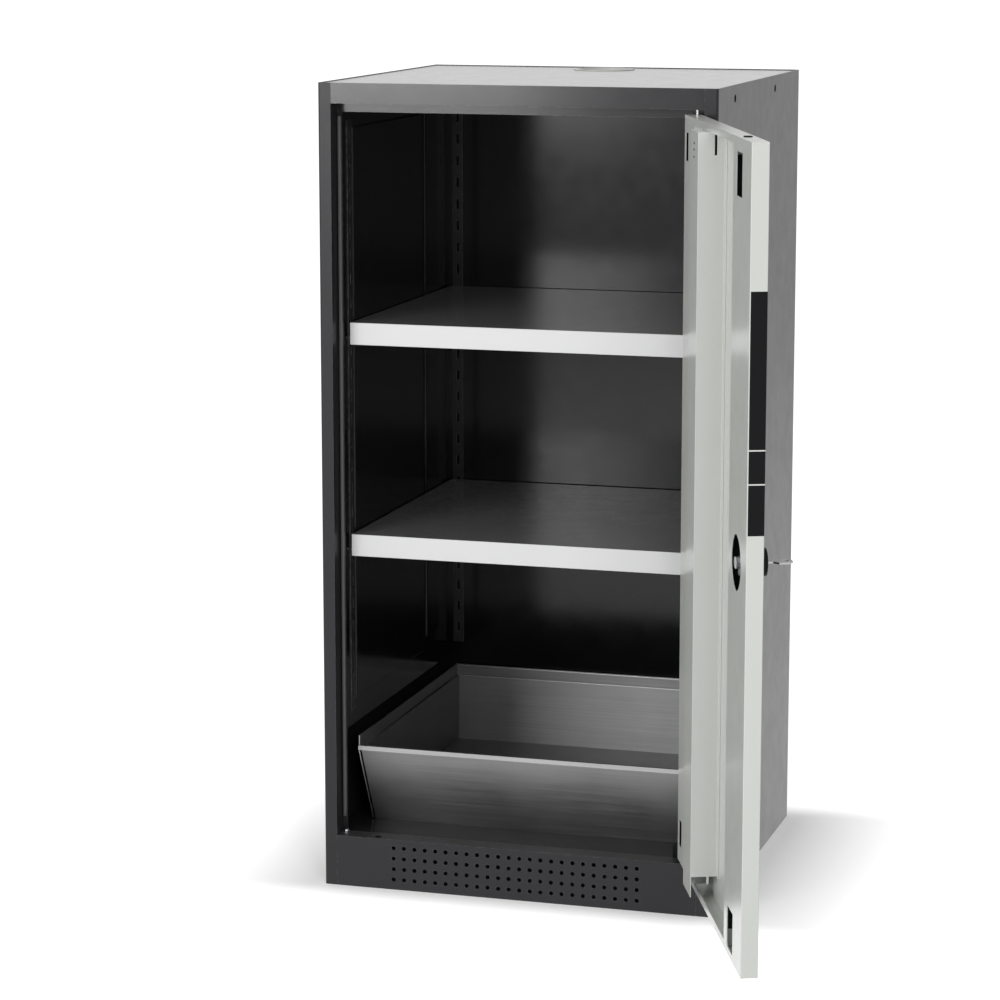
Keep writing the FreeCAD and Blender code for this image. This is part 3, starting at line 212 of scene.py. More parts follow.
# Painted reflection: in mirrors the floor glows brightest near the cabinet, though it is no lamp.
mirrored = glow_by_distance(from_middle, rays.outputs["Is Glossy Ray"], near=0.9, far=0.5, reach=(0.5, 6.0))
link(tree, camera_glow_with_painted_shade, glow.inputs[0])
link(tree, mirrored, glow.inputs[1])
link(tree, glow.outputs["Value"], shader.inputs["Emission Strength"])
floor.data.materials.append(floor_paint)

# %% [markdown]
# The world fills in the shadows. The camera and the mirrors see it white, and it lights the cabinet with
# less than half of that.

# %% Fill the world with soft light
FILL_LIGHT = 0.44
SEEN_WHITE = 1.0

world = bpy.data.worlds.new("studio_world")
bpy.context.scene.world = world
world.use_nodes = True
sky = world.node_tree
background = sky.nodes["Background"]
background.inputs["Color"].default_value = (1.0, 1.0, 1.0, 1)
level = sky.nodes.new("ShaderNodeMapRange")
level.inputs["To Min"].default_value = FILL_LIGHT
level.inputs["To Max"].default_value = SEEN_WHITE
link(sky, looked_at(sky), level.inputs["Value"])
link(sky, level.outputs["Result"], background.inputs["Strength"])

# %% [markdown]
# One large softbox at the front left gives the direction of the light. It reaches down far enough to be
# mirrored in the fascia, brighter to the left. A weak one at the right, which no surface mirrors, stands
# in the plane of the open door: it lights the door's edge and leaves the hollow behind its lip in shade.

# %% Hang the lamps
def soft_lamp(name, place, target, width, height, watts, mirrored=True):
    """A rectangular area lamp that looks from its place at its target."""
    data = bpy.data.lights.new(name, "AREA")
    data.shape = "RECTANGLE"
    data.size = width
    data.size_y = height
    data.energy = watts
    lamp = bpy.data.objects.new(name, data)
    bpy.context.collection.objects.link(lamp)
    lamp.location = place
    direction = Vector(target) - Vector(place)
    lamp.rotation_euler = direction.to_track_quat("-Z", "Y").to_euler()
    lamp.visible_glossy = mirrored


soft_lamp("front_left_softbox", place=(-1.85, -4.15, 1.65), target=(0.0, -0.1, 0.70),
          width=1.6, height=1.8, watts=84)
soft_lamp("front_right_softbox", place=(2.3, -4.4, 2.1), target=(0.2, -0.3, 0.60),
          width=1.2, height=1.2, watts=52, mirrored=False)
print("two lamps, one world, one floor")

# %% [markdown]
# ## Effects that several finishes share
#
# Paint, steel and plastic differ, yet they use the same few effects: a fine relief, large soft changes of
# tone, wear at the edges. Each effect is built once as a node group with named sockets, and every
# material places it with its own values. A group gives out only numbers and colours that vary over the
# surface, and the shader itself stays in the material.

# %% A helper for node groups
def new_group(name, inputs, outputs):
    """A shader node group with number, colour or vector sockets and default values."""
    group = bpy.data.node_groups.new(name, "ShaderNodeTree")
    kinds = {"number": "NodeSocketFloat", "colour": "NodeSocketColor", "vector": "NodeSocketVector"}
    for label, kind, value in inputs:
        socket = group.interface.new_socket(label, in_out="INPUT", socket_type=kinds[kind])
        socket.default_value = value
    for label, kind in outputs:
        group.interface.new_socket(label, in_out="OUTPUT", socket_type=kinds[kind])
    return group, group.nodes.new("NodeGroupInput"), group.nodes.new("NodeGroupOutput")


def math_node(tree, operation, first, second):
    """A Math node; each operand is a socket or a plain number."""
    node = tree.nodes.new("ShaderNodeMath")
    node.operation = operation
    for index, operand in enumerate((first, second)):
        if isinstance(operand, (int, float)):
            node.inputs[index].default_value = operand
        else:
            tree.links.new(operand, node.inputs[index])
    return node.outputs["Value"]


def noise(tree, vector, scale, detail=2.0, roughness=0.5):
    """A noise texture on a vector; scale is a number or a socket."""
    node = tree.nodes.new("ShaderNodeTexNoise")
    node.inputs["Detail"].default_value = detail
    node.inputs["Roughness"].default_value = roughness
    tree.links.new(vector, node.inputs["Vector"])
    if isinstance(scale, (int, float)):
        node.inputs["Scale"].default_value = scale
    else:
        tree.links.new(scale, node.inputs["Scale"])
    return node.outputs["Fac"]


def object_place(tree):
    """The Object coordinates: metres from the origin, the same in every view."""
    return tree.nodes.new("ShaderNodeTexCoord").outputs["Object"]


# %% [markdown]
# ### Orange peel
#
# Powder coating flows before it sets, so the film is full of low bumps a millimetre or two apart. A noise
# at that scale gives the height, a slower one makes the sheen drift, and a third one lets the tone vary
# by a few percent.

# %% Build the orange peel group
def build_orange_peel():
    """Height, tone and roughness of a coat that flowed before it set."""
    group, given, result = new_group(
        "orange_peel",
        [("Grains per metre", "number", 620.0), ("Tone change", "number", 0.08), ("Sheen", "number", 0.35),
         ("Sheen change", "number", 0.08)],
        [("Height", "number"), ("Tone", "number"), ("Roughness", "number")],
    )
    place = object_place(group)
    fine = noise(group, place, given.outputs["Grains per metre"], detail=2.0, roughness=0.45)
    slow = noise(group, place, scale=38.0, detail=1.0)
    broad = noise(group, place, scale=5.0, detail=2.0)
    height = math_node(group, "ADD", fine, math_node(group, "MULTIPLY", slow, 0.8))
    uneven = math_node(group, "ADD", broad, math_node(group, "MULTIPLY", fine, 0.5))
    drift = math_node(group, "SUBTRACT", uneven, 0.75)
    tone = math_node(group, "ADD", 1.0, math_node(group, "MULTIPLY", drift, given.outputs["Tone change"]))
    sheen_drift = math_node(group, "SUBTRACT", slow, 0.5)
    sheen = math_node(group, "ADD", given.outputs["Sheen"],
                      math_node(group, "MULTIPLY", sheen_drift, given.outputs["Sheen change"]))
    link(group, height, result.inputs["Height"])
    link(group, tone, result.inputs["Tone"])
    link(group, sheen, result.inputs["Roughness"])
    return group


ORANGE_PEEL = build_orange_peel()
print("group", ORANGE_PEEL.name)

# %% [markdown]
# ### Wear along edges
#
# Edges are where coats wear first. The Bevel node gives the normal as it would be with round edges. Where
# that normal turns away from the true one there is an edge, and the angle between them makes a mask,
# broken up by a noise so that the wear isn't an even line.

# %% Build the edge wear group
WORN_RADIUS = 0.0016
ANGLE_GAIN = 4.0
PATCH_START, PATCH_GAIN = 0.42, 5.0


def build_edge_wear():
    """A mask that is high along edges, in patches."""
    group, given, result = new_group(
        "edge_wear",
        [("Amount", "number", 0.5), ("Spots per metre", "number", 160.0)],
        [("Mask", "number")],
    )
    rounded = group.nodes.new("ShaderNodeBevel")
    rounded.samples = 4
    rounded.inputs["Radius"].default_value = WORN_RADIUS
    true = group.nodes.new("ShaderNodeNewGeometry")
    dot = group.nodes.new("ShaderNodeVectorMath")
    dot.operation = "DOT_PRODUCT"
    link(group, rounded.outputs["Normal"], dot.inputs[0])
    link(group, true.outputs["Normal"], dot.inputs[1])
    turned = math_node(group, "SUBTRACT", 1.0, dot.outputs["Value"])
    edge = math_node(group, "MULTIPLY", turned, ANGLE_GAIN)
    spots = noise(group, object_place(group), given.outputs["Spots per metre"], detail=4.0, roughness=0.65)
    patches = math_node(group, "MULTIPLY", math_node(group, "SUBTRACT", spots, PATCH_START), PATCH_GAIN)
    mask = group.nodes.new("ShaderNodeClamp")
    both = math_node(group, "MULTIPLY", math_node(group, "MULTIPLY", edge, patches), given.outputs["Amount"])
    link(group, both, mask.inputs["Value"])
    link(group, mask.outputs["Result"], result.inputs["Mask"])
    return group


EDGE_WEAR = build_edge_wear()
print("group", EDGE_WEAR.name)

# %% [markdown]
# ### Grain of rolled and brushed steel
#
# Sheet steel keeps the long scratches of the rolls. A noise that is stretched along one direction gives
# such streaks: the coordinates are multiplied, little along the grain and much across it, and the noise
# then runs long.

# %% Build the streak group
STREAK_SHARE, CLOUD_SHARE = 0.6, 0.4


def build_steel_streaks():
    """Height, tone and roughness of sheet with a grain and a soft cloud over it."""
    group, given, result = new_group(
        "steel_streaks",
        [("Stretch", "vector", (6.0, 900.0, 900.0)), ("Sheen", "number", 0.3),
         ("Sheen change", "number", 0.15), ("Tone change", "number", 0.2)],
        [("Height", "number"), ("Tone", "number"), ("Roughness", "number")],
    )
    scaled = group.nodes.new("ShaderNodeVectorMath")
    scaled.operation = "MULTIPLY"
    link(group, object_place(group), scaled.inputs[0])
    link(group, given.outputs["Stretch"], scaled.inputs[1])
    streaks = noise(group, scaled.outputs["Vector"], scale=1.0, detail=3.0, roughness=0.6)
    cloud = noise(group, object_place(group), scale=9.0, detail=3.0, roughness=0.6)
    streaked = math_node(group, "MULTIPLY", streaks, STREAK_SHARE)
    clouded = math_node(group, "MULTIPLY", cloud, CLOUD_SHARE)
    mixed = math_node(group, "SUBTRACT", math_node(group, "ADD", streaked, clouded), 0.5)
    tone = math_node(group, "ADD", 1.0, math_node(group, "MULTIPLY", mixed, given.outputs["Tone change"]))
    sheen = math_node(group, "ADD", given.outputs["Sheen"],
                      math_node(group, "MULTIPLY", mixed, given.outputs["Sheen change"]))
    link(group, streaks, result.inputs["Height"])
    link(group, tone, result.inputs["Tone"])
    link(group, sheen, result.inputs["Roughness"])
    return group


STEEL_STREAKS = build_steel_streaks()
print("group", STEEL_STREAKS.name)

# %% [markdown]
# ### Dust
#
# A cabinet gathers a little dust on what faces up. The mask is the upward part of the normal, cut by a
# noise. It only lifts the colour by a trace.

# %% Build the dust group
LEAST_UPWARD, DUST_GAIN = 0.6, 4.0


def build_light_dust():
    """A mask that is high in specks on level faces."""
    group, given, result = new_group("light_dust", [("Amount", "number", 0.2)], [("Mask", "number")])
    true = group.nodes.new("ShaderNodeNewGeometry")
    parts = group.nodes.new("ShaderNodeSeparateXYZ")
    link(group, true.outputs["Normal"], parts.inputs["Vector"])
    above_least = math_node(group, "SUBTRACT", parts.outputs["Z"], LEAST_UPWARD)
    upward = math_node(group, "MAXIMUM", above_least, 0.0)
    specks = noise(group, object_place(group), scale=260.0, detail=5.0, roughness=0.7)
    cloud = noise(group, object_place(group), scale=7.0, detail=2.0)
    film = math_node(group, "MULTIPLY", math_node(group, "MULTIPLY", specks, cloud), DUST_GAIN)
    mask = group.nodes.new("ShaderNodeClamp")
    dust = math_node(group, "MULTIPLY", math_node(group, "MULTIPLY", upward, film), given.outputs["Amount"])
    link(group, dust, mask.inputs["Value"])
    link(group, mask.outputs["Result"], result.inputs["Mask"])
    return group


LIGHT_DUST = build_light_dust()
print("group", LIGHT_DUST.name)


# %% [markdown]
# ## The finishes
#
# The order of work for each finish is the same: a colour close to the real paint, the peel or the grain
# that turns and dulls the reflections, then a little wear and dust. The values of roughness decide most
# of the look: the outside is satin, the lacquer inside and the shelves are nearly glossy.

# %% A painted sheet
def place_group(tree, group, **values):
    """Places a node group in a material and sets its named inputs."""
    node = tree.nodes.new("ShaderNodeGroup")
    node.node_tree = group
    for label, value in values.items():
        node.inputs[label.replace("_", " ")].default_value = value
    return node


def scaled_colour(tree, colour, tone):
    """A colour multiplied by a tone close to one."""
    node = tree.nodes.new("ShaderNodeVectorMath")
    node.operation = "SCALE"
    node.inputs[0].default_value = colour
    link(tree, tone, node.inputs["Scale"])
    return node.outputs["Vector"]


def mixed_colour(tree, mask, base, over):
    """Base colour socket, laid over with a plain colour where the mask is high."""
    node = tree.nodes.new("ShaderNodeMix")
    node.data_type = "RGBA"
    link(tree, mask, node.inputs["Factor"])
    link(tree, base, node.inputs["A"])
    node.inputs["B"].default_value = (*over, 1)
    return node.outputs["Result"]


def bumped(tree, shader, height, distance):
    """A Bump node from a height to the shader's normal."""
    bump = tree.nodes.new("ShaderNodeBump")
    bump.inputs["Strength"].default_value = 1.0
    bump.inputs["Distance"].default_value = distance
    link(tree, height, bump.inputs["Height"])
    link(tree, bump.outputs["Normal"], shader.inputs["Normal"])


DUST_COLOUR = (0.45, 0.44, 0.42)
WORN_GREY = (0.30, 0.30, 0.31)


def painted_sheet(name, colour, sheen, shine=0.5, grains=620.0, relief=0.00006, worn=WORN_GREY, wear=0.25,
                  dust=0.15, tone_change=0.08, sheen_change=0.08):
    """Powder coat or lacquer on steel sheet; sheen is its roughness and shine how much it mirrors."""
    material, tree, shader = new_material(name)
    shader.inputs["Specular IOR Level"].default_value = shine
    peel = place_group(tree, ORANGE_PEEL, Grains_per_metre=grains, Tone_change=tone_change, Sheen=sheen,
                       Sheen_change=sheen_change)
    rubbed = place_group(tree, EDGE_WEAR, Amount=wear)
    dusty = place_group(tree, LIGHT_DUST, Amount=dust)
    paint = scaled_colour(tree, colour, peel.outputs["Tone"])
    edge = mixed_colour(tree, rubbed.outputs["Mask"], paint, worn)
    top = mixed_colour(tree, dusty.outputs["Mask"], edge, DUST_COLOUR)
    link(tree, top, shader.inputs["Base Color"])
    link(tree, peel.outputs["Roughness"], shader.inputs["Roughness"])
    bumped(tree, shader, peel.outputs["Height"], relief)
    return material


SMOOTH = {"grains": 420.0, "relief": 0.00003}

anthracite_powder = painted_sheet("anthracite_powder_coat", (0.018, 0.017, 0.0195), 0.30, shine=0.26)
smooth_anthracite = painted_sheet("smooth_anthracite_coat", (0.020, 0.019, 0.0215), 0.16, shine=0.41,
                                  sheen_change=0.05, **SMOOTH)
inner_lacquer = painted_sheet("dark_inner_lacquer", (0.0065, 0.006, 0.0065), 0.14, shine=0.32,
                              wear=0.3, dust=0.05, **SMOOTH)
upright_coat = painted_sheet("upright_coat", (0.018, 0.018, 0.019), 0.30, wear=0.4)
shelf_gloss = painted_sheet("shelf_gloss_paint", (0.165, 0.160, 0.160), 0.20, wear=0.1, dust=0.08, **SMOOTH)
shelf_front_paint = painted_sheet("shelf_front_pale_paint", (0.70, 0.70, 0.705), 0.34, worn=(0.8, 0.8, 0.8),
                                  wear=0.15, dust=0.05, tone_change=0.03)
door_paint = painted_sheet("pale_door_paint", (0.62, 0.635, 0.605), 0.22, worn=(0.74, 0.74, 0.72),
                           wear=0.15, dust=0.05, tone_change=0.03)
print("seven painted finishes")

# %% [markdown]
# The tray is bare steel sheet, and its grain runs level round the four walls. So its coordinates are
# multiplied little along x and y and much along z. The same number on all three gives zinc plate its even
# speckle, and a turned pin gets fine rings.

# %% Bare and plated steel
def bare_steel(name, colour, sheen, stretch, sheen_change=0.2, tone_change=0.25, relief=0.00002):
    """Metal with a rolled or brushed grain."""
    material, tree, shader = new_material(name)
    grain = place_group(tree, STEEL_STREAKS, Stretch=stretch, Sheen=sheen, Sheen_change=sheen_change,
                        Tone_change=tone_change)
    rubbed = place_group(tree, EDGE_WEAR, Amount=0.5)
    metal = scaled_colour(tree, colour, grain.outputs["Tone"])
    bright = tuple(min(1.0, 1.35 * part) for part in colour)
    link(tree, mixed_colour(tree, rubbed.outputs["Mask"], metal, bright), shader.inputs["Base Color"])
    link(tree, grain.outputs["Roughness"], shader.inputs["Roughness"])
    shader.inputs["Metallic"].default_value = 1.0
    bumped(tree, shader, grain.outputs["Height"], relief)
    return material


tray_steel = bare_steel("tray_rolled_steel", (0.315, 0.315, 0.315), 0.50, stretch=(5.0, 5.0, 500.0),
                        sheen_change=0.4, tone_change=0.9)
# A brighter copy of the tray steel, for the rods along the tray's folds: a painted highlight.
painted_highlight_edge_steel = bare_steel("bright_folded_edge", (0.66, 0.66, 0.66), 0.42, stretch=(5.0, 5.0, 5.0),
                         sheen_change=0.05, tone_change=0.1, relief=0.000002)
zinc_plate = bare_steel("zinc_plated_steel", (0.66, 0.67, 0.69), 0.28, stretch=(200.0, 200.0, 200.0))
turned_pin = bare_steel("turned_bright_steel", (0.42, 0.42, 0.43), 0.38, stretch=(60.0, 60.0, 2500.0),
                        sheen_change=0.1)
print("four metal finishes")

# %% [markdown]
# Moulded plastic has the fine erosion of its mould, a grain of about half a millimetre, and its worn
# edges turn a little lighter. A soft rubber is made in the same way.

# %% Moulded plastic
def moulded_plastic(name, colour, sheen, relief, worn, shine=0.5):
    """Plastic with a fine moulded grain."""
    material, tree, shader = new_material(name)
    shader.inputs["Specular IOR Level"].default_value = shine
    peel = place_group(tree, ORANGE_PEEL, Grains_per_metre=1900.0, Tone_change=0.12, Sheen=sheen,
                       Sheen_change=0.12)
    rubbed = place_group(tree, EDGE_WEAR, Amount=0.35)
    base = scaled_colour(tree, colour, peel.outputs["Tone"])
    link(tree, mixed_colour(tree, rubbed.outputs["Mask"], base, worn), shader.inputs["Base Color"])
    link(tree, peel.outputs["Roughness"], shader.inputs["Roughness"])
    bumped(tree, shader, peel.outputs["Height"], relief)
    return material


black_plastic = moulded_plastic("black_grained_plastic", (0.010, 0.010, 0.011), 0.45, relief=0.00005,
                                worn=(0.05, 0.05, 0.05), shine=0.06)
soft_rubber = moulded_plastic("grey_soft_rubber", (0.115, 0.115, 0.118), 0.6, relief=0.00004,
                              worn=(0.10, 0.10, 0.10))
white_plastic = moulded_plastic("pale_smooth_plastic", (0.66, 0.66, 0.64), 0.38, relief=0.00001,
                                worn=(0.75, 0.75, 0.74))
print("two plastics and a rubber")

# %% [markdown]
# ## Give every CAD node its finish
#
# A node arrives with the plain colour of its slot in the record. Its slot names the finish, so a table
# from slot to material dresses all of them at once.

# %% Dress the nodes
FINISH = {
    "anthracite_paint": anthracite_powder,
    "interior_paint": inner_lacquer,
    "upright_steel": upright_coat,
    "zinc_steel": zinc_plate,
    "pin_steel": turned_pin,
    "shelf_paint": shelf_gloss,
    "shelf_trim_paint": shelf_front_paint,
    "tray_steel": tray_steel,
    "door_paint": door_paint,
    "black_plastic": black_plastic,
    "white_plastic": white_plastic,
}
slot_of = {name: node.material_slots[0].material.name.split(".")[0] for name, node in nodes.items()}
for name, node in nodes.items():
    for slot in node.material_slots:
        slot.material = FINISH[slot_of[name]]
body_of = {}
for body, members in frame["record"]["behaviour"]["bodies"].items():
    for member in members:
        body_of[member] = body
print("dressed", len(slot_of), "nodes")


# %% [markdown]
# ## Folded sheet with edges that catch the light
#
# No folded sheet has a sharp edge, and the thin bright line along each edge is what makes it look like
# steel. The CAD mesh is loose triangles with hard edges. A copy of it is merged, and a Bevel modifier
# rounds every edge that turns by more than thirty degrees.
#
# The Bevel modifier marks its new faces as weak, and the Weighted Normal modifier then takes the normals
# from the strong faces alone. So the flat faces stay perfectly flat, and only the round edges blend. A
# bevel can fold a thin triangle over, which leaves a dark line, so the triangles of each plane are first
# dissolved into one face. The door's outer skin has a large window behind the grip, which such a face
# would close, and its triangles stay.

# %% A folded copy of a node
def smooth_with_round_edges(piece, edge):
    """Rounds the sharp edges of a merged mesh and keeps its flat faces flat."""
    select_only(piece)
    bpy.ops.object.shade_smooth()
    bevel = piece.modifiers.new("rounded_edges", "BEVEL")
    bevel.width = edge * MM
    bevel.segments = 2
    bevel.limit_method = "ANGLE"
    bevel.angle_limit = radians(30)
    bevel.use_clamp_overlap = True
    bevel.face_strength_mode = "FSTR_ALL"
    weighted = piece.modifiers.new("flat_faces", "WEIGHTED_NORMAL")
    weighted.mode = "FACE_AREA"
    weighted.use_face_influence = True
    apply_modifiers(piece)


def merged_copy(node, name, whole_faces=True):
    """A copy of a CAD node's mesh without doubles and, if wanted, with whole faces in place of triangles."""
    piece = bpy.data.objects.new(name, nodes[node].data.copy())
    bpy.context.collection.objects.link(piece)
    select_only(piece)
    bpy.ops.mesh.customdata_custom_splitnormals_clear()
    bpy.ops.object.mode_set(mode="EDIT")
    bpy.ops.mesh.select_mode(type="VERT")
    bpy.ops.mesh.select_all(action="SELECT")
    bpy.ops.mesh.remove_doubles(threshold=0.01 * MM)
    if whole_faces:
        bpy.ops.mesh.dissolve_limited(angle_limit=radians(0.5))
    bpy.ops.object.mode_set(mode="OBJECT")
    return piece


def folded_copy(node, name, edge=0.4, finish=None):
    """A merged copy of a CAD node with rounded edges, in place of that node."""
    piece = merged_copy(node, name, whole_faces=node != "door_shell")
    smooth_with_round_edges(piece, edge)
    piece.data.materials.clear()
    piece.data.materials.append(finish or FINISH[slot_of[node]])
    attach(piece, body_of[node])
    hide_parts(node)
    return piece


FOLDED = {
    "left_side_panel": ("left_side_with_post", 0.7),
    "right_side_panel": ("right_side_with_post", 0.7),
    "top_panel": ("roof_sheet", 0.4, smooth_anthracite),
    "back_panel": ("rear_sheet", 0.4),
    "perforated_plinth": ("plinth_sheet", 0.4),
    "top_front_rail": ("fascia_and_stop", 0.4, smooth_anthracite),
    "floor_panel": ("cabinet_floor_sheet", 0.4),
    "left_inner_lining": ("left_lining_sheet", 0.6),
    "right_inner_lining": ("right_lining_sheet", 0.6),
    "rear_inner_lining": ("rear_lining_sheet", 0.4),
    "front_left_upright": ("front_left_slotted_strip", 0.25),
    "front_right_upright": ("front_right_slotted_strip", 0.25),
    "rear_left_upright": ("rear_left_slotted_strip", 0.5),
    "rear_right_upright": ("rear_right_slotted_strip", 0.5),
    "air_outlet_collar": ("outlet_collar_ring", 0.3),
    "upper_shelf_trim": ("upper_shelf_front", 0.5),
    "lower_shelf_trim": ("lower_shelf_front", 0.5),
    "upper_shelf_pan": ("upper_shelf_sheet", 0.5),
    "lower_shelf_pan": ("lower_shelf_sheet", 0.5),
    "upper_shelf_clips": ("upper_shelf_hooks", 0.5),
    "lower_shelf_clips": ("lower_shelf_hooks", 0.5),
    "sump_tray": ("sump_tray_sheet", 0.6),
    "lower_pivot_bracket": ("lower_pivot_casting", 0.8),
    "upper_pivot_bracket": ("upper_pivot_casting", 0.8),
    "door_shell": ("door_sheet", 0.4),
    "door_stiffener": ("door_hat_section", 0.5),
    "door_edge_grip": ("edge_grip_moulding", 0.8),
    "rod_guides": ("rod_guide_blocks", 0.6),
    "upper_pivot_block": ("upper_pivot_bush", 0.6),
    "lower_pivot_block": ("lower_pivot_bush", 0.6),
    "upper_locking_rod": ("upper_rod_with_plate", 0.4),
    "lower_locking_rod": ("lower_rod_with_plate", 0.4),
    "lock_housing": ("lock_disc", 0.5),
    "lock_escutcheon": ("lock_outer_ring", 0.8),
    "lock_knob": ("lock_turning_knob", 0.8),
    "lock_cam": ("lock_cam_arms", 0.4),
    "lock_nut": ("lock_hexagon_nut", 0.6),
    "key": ("cabinet_key", 0.4, turned_pin),
}
folded = {node: folded_copy(node, *details) for node, details in FOLDED.items()}
print("folded", {piece.name: len(piece.data.polygons) for piece in folded.values()})

# %% [markdown]
# ## Ways to make and place small parts
#
# Screws, rivets and plugs are all turned shapes. Each is modelled once at the origin, looking up, and its
# copies are turned, moved and joined. Applying the transform puts the place into the mesh, so that the
# object itself ends at the origin, as every CAD node does.

# %% Helpers for small parts
def settle(piece):
    """Puts the turn and place of an object into its mesh."""
    select_only(piece)
    bpy.ops.object.transform_apply(location=True, rotation=True, scale=True)


def copies_joined(master, name, places):
    """Copies a master to each place and turn, joins the copies, and removes the master."""
    copies = []
    for location, turn in places:
        copy = master.copy()
        copy.data = master.data.copy()
        bpy.context.collection.objects.link(copy)
        copy.location = [MM * value for value in location]
        copy.rotation_euler = [radians(angle) for angle in turn]
        settle(copy)
        copies.append(copy)
    select_only(copies[0])
    for copy in copies:
        copy.select_set(True)
    bpy.ops.object.join()
    joined = bpy.context.object
    joined.name = name
    bpy.data.objects.remove(master)
    return joined


def belongs(piece, body, slot, replaced=None, finish=None):
    """Gives a finished piece the finish of its slot or the finish given, puts it on its body, and hides the
    node it replaces.
    """
    piece.data.materials.clear()
    piece.data.materials.append(finish or FINISH[slot])
    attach(piece, body)
    if replaced:
        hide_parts(replaced)
    print(piece.name, len(piece.data.polygons), "faces on", body)


def start_cylinder(radius, depth, middle, sides=32):
    """Adds a cylinder along z, in millimetres, and opens it in edit mode."""
    select_nothing()
    bpy.ops.mesh.primitive_cylinder_add(vertices=sides, radius=radius * MM, depth=depth * MM,
                                        location=(0, 0, middle * MM))
    piece = bpy.context.object
    settle(piece)
    edit_with_nothing_selected(piece)
    return piece


def step_in(piece, level, inset, move):
    """Insets the end face that lies at a level, and moves the new face along z."""
    distance, way = move
    rise = distance if way == "up" else -distance
    pick_faces(piece, lambda centre, normal: abs(centre.z - level * MM) < 1e-6 and abs(normal.z) > 0.9)
    bpy.ops.mesh.inset(thickness=inset * MM, depth=0)
    bpy.ops.mesh.extrude_region_move(TRANSFORM_OT_translate={"value": (0, 0, rise * MM)})


def soften(piece, edge):
    """Bevels the edges of a small part and smooths it."""
    bpy.ops.object.mode_set(mode="OBJECT")
    select_only(piece)
    bpy.ops.object.shade_smooth()
    bevel = piece.modifiers.new("soft_edges", "BEVEL")
    bevel.width = edge * MM
    bevel.segments = 2
    bevel.angle_limit = radians(40)
    weighted = piece.modifiers.new("flat_faces", "WEIGHTED_NORMAL")
    weighted.mode = "FACE_AREA"
    apply_modifiers(piece)


# %% [markdown]
# ## Hole plugs
#
# The lifting holes high in the sides are shut with black plastic cups. Seen along the side, only the dark
# hollow of each cup shows. A cup starts as its inner collar, a flat cylinder. The outer face is inset and
# pulled out through the hole, inset again and pushed back in to hollow it, and the inner face is inset and
# pushed further in to give the hollow its bottom.

# %% Model the cup plug and place four
SIDE_FACE, PLUG_HEIGHT = 272.5, 1087
PLUG_DEPTHS = (-160, 95)

plug = start_cylinder(radius=7.5, depth=1.5, middle=-2.25)
step_in(plug, level=-1.5, inset=2.05, move=(1.2, "up"))
step_in(plug, level=-0.3, inset=0.8, move=(7.5, "down"))
step_in(plug, level=-3.0, inset=1.2, move=(6.0, "down"))
soften(plug, 0.2)
plug_places = [((side * SIDE_FACE, y, PLUG_HEIGHT), (0, side * 90, 0))
               for side in (-1, 1) for y in PLUG_DEPTHS]
plugs = copies_joined(plug, "side_cup_plugs", plug_places)
belongs(plugs, "carcass", "black_plastic", "side_hole_plugs")

# %% [markdown]
# ## Rivets and screws
#
# Blind rivets hold the rear sheet, and two screws with a round head hold the lower pivot casting. Both
# have a low dome with a dimple or a socket in it. A flat cylinder gives the head. Its top is inset and
# pushed down for the dimple, and a bevel over all edges makes the dome.

# %% Model the rivets and the screws
def round_head(radius, height, socket, depth):
    """A domed head on z = 0 with a socket in its top."""
    head = start_cylinder(radius, height, height / 2, sides=24)
    step_in(head, height, radius - socket, (depth, "down"))
    soften(head, height / 3)
    return head


RIVET_ACROSS, REAR_FACE = 250, 258.5
RIVET_LEVELS = range(62, 1060, 122)
rivet_places = [((side * RIVET_ACROSS, REAR_FACE, z), (-90, 0, 0)) for side in (-1, 1) for z in RIVET_LEVELS]
rivet = round_head(radius=4.0, height=1.1, socket=1.3, depth=0.6)
rivets = copies_joined(rivet, "rear_sheet_rivets", rivet_places)
belongs(rivets, "carcass", "anthracite_paint")

screw_places = [((226.5, -227.5, 88.0), (0, 0, 0)), ((233.0, -246.0, 75.0), (0, 0, 20))]
screw = round_head(radius=3.4, height=1.4, socket=1.5, depth=0.9)
screws = copies_joined(screw, "lower_casting_screws", screw_places)
belongs(screws, "carcass", "zinc_steel")

# %% [markdown]
# ## Small parts of the open door
#
# In the photograph the door stands open, so what belongs to it is modelled with the door lying along x
# and facing y, and is then turned about the hinge in one go. Places on it are measured across from its
# free edge, deep from its outer face, and up from the ground.

# %% Turn what is made beside the door to where the door stands
HINGE = (244.3, -254.5)
PIN_ACROSS, PIN_DEEP = 497.3, 5.5
OPEN_ANGLE = 112


def hang_on_door(piece):
    """Turns a piece made in the door's own frame about the hinge, to the open place."""
    settle(piece)
    piece.rotation_euler = (0, 0, radians(OPEN_ANGLE))
    piece.location = (HINGE[0] * MM, HINGE[1] * MM, 0)
    settle(piece)


def door_place(across, deep, height):
    """A place in the door's frame, from its free edge and outer face, measured from the hinge pin."""
    return (across - PIN_ACROSS, deep - PIN_DEEP, height)


def bar(name, low, high, edge):
    """A straight bar between two corners, in millimetres, with every edge bevelled."""
    select_nothing()
    bpy.ops.mesh.primitive_cube_add(size=1, location=[MM * (a + b) / 2 for a, b in zip(low, high)],
                                    scale=[MM * (b - a) for a, b in zip(low, high)])
    piece = bpy.context.object
    piece.name = name
    settle(piece)
    edit_with_nothing_selected(piece, "EDGE")
    bpy.ops.mesh.select_all(action="SELECT")
    bpy.ops.mesh.bevel(offset=edge * MM, segments=3, affect="EDGES")
    bpy.ops.object.mode_set(mode="OBJECT")
    bpy.ops.object.shade_smooth_by_angle(angle=radians(35))
    return piece


def door_bar(name, across, deep, levels, edge, slot):
    """A bar in the door's own frame, hung on the door and given to it."""
    low, high = [door_place(*corner) for corner in zip(across, deep, levels)]
    piece = bar(name, low, high, edge)
    hang_on_door(piece)
    belongs(piece, "door", slot)


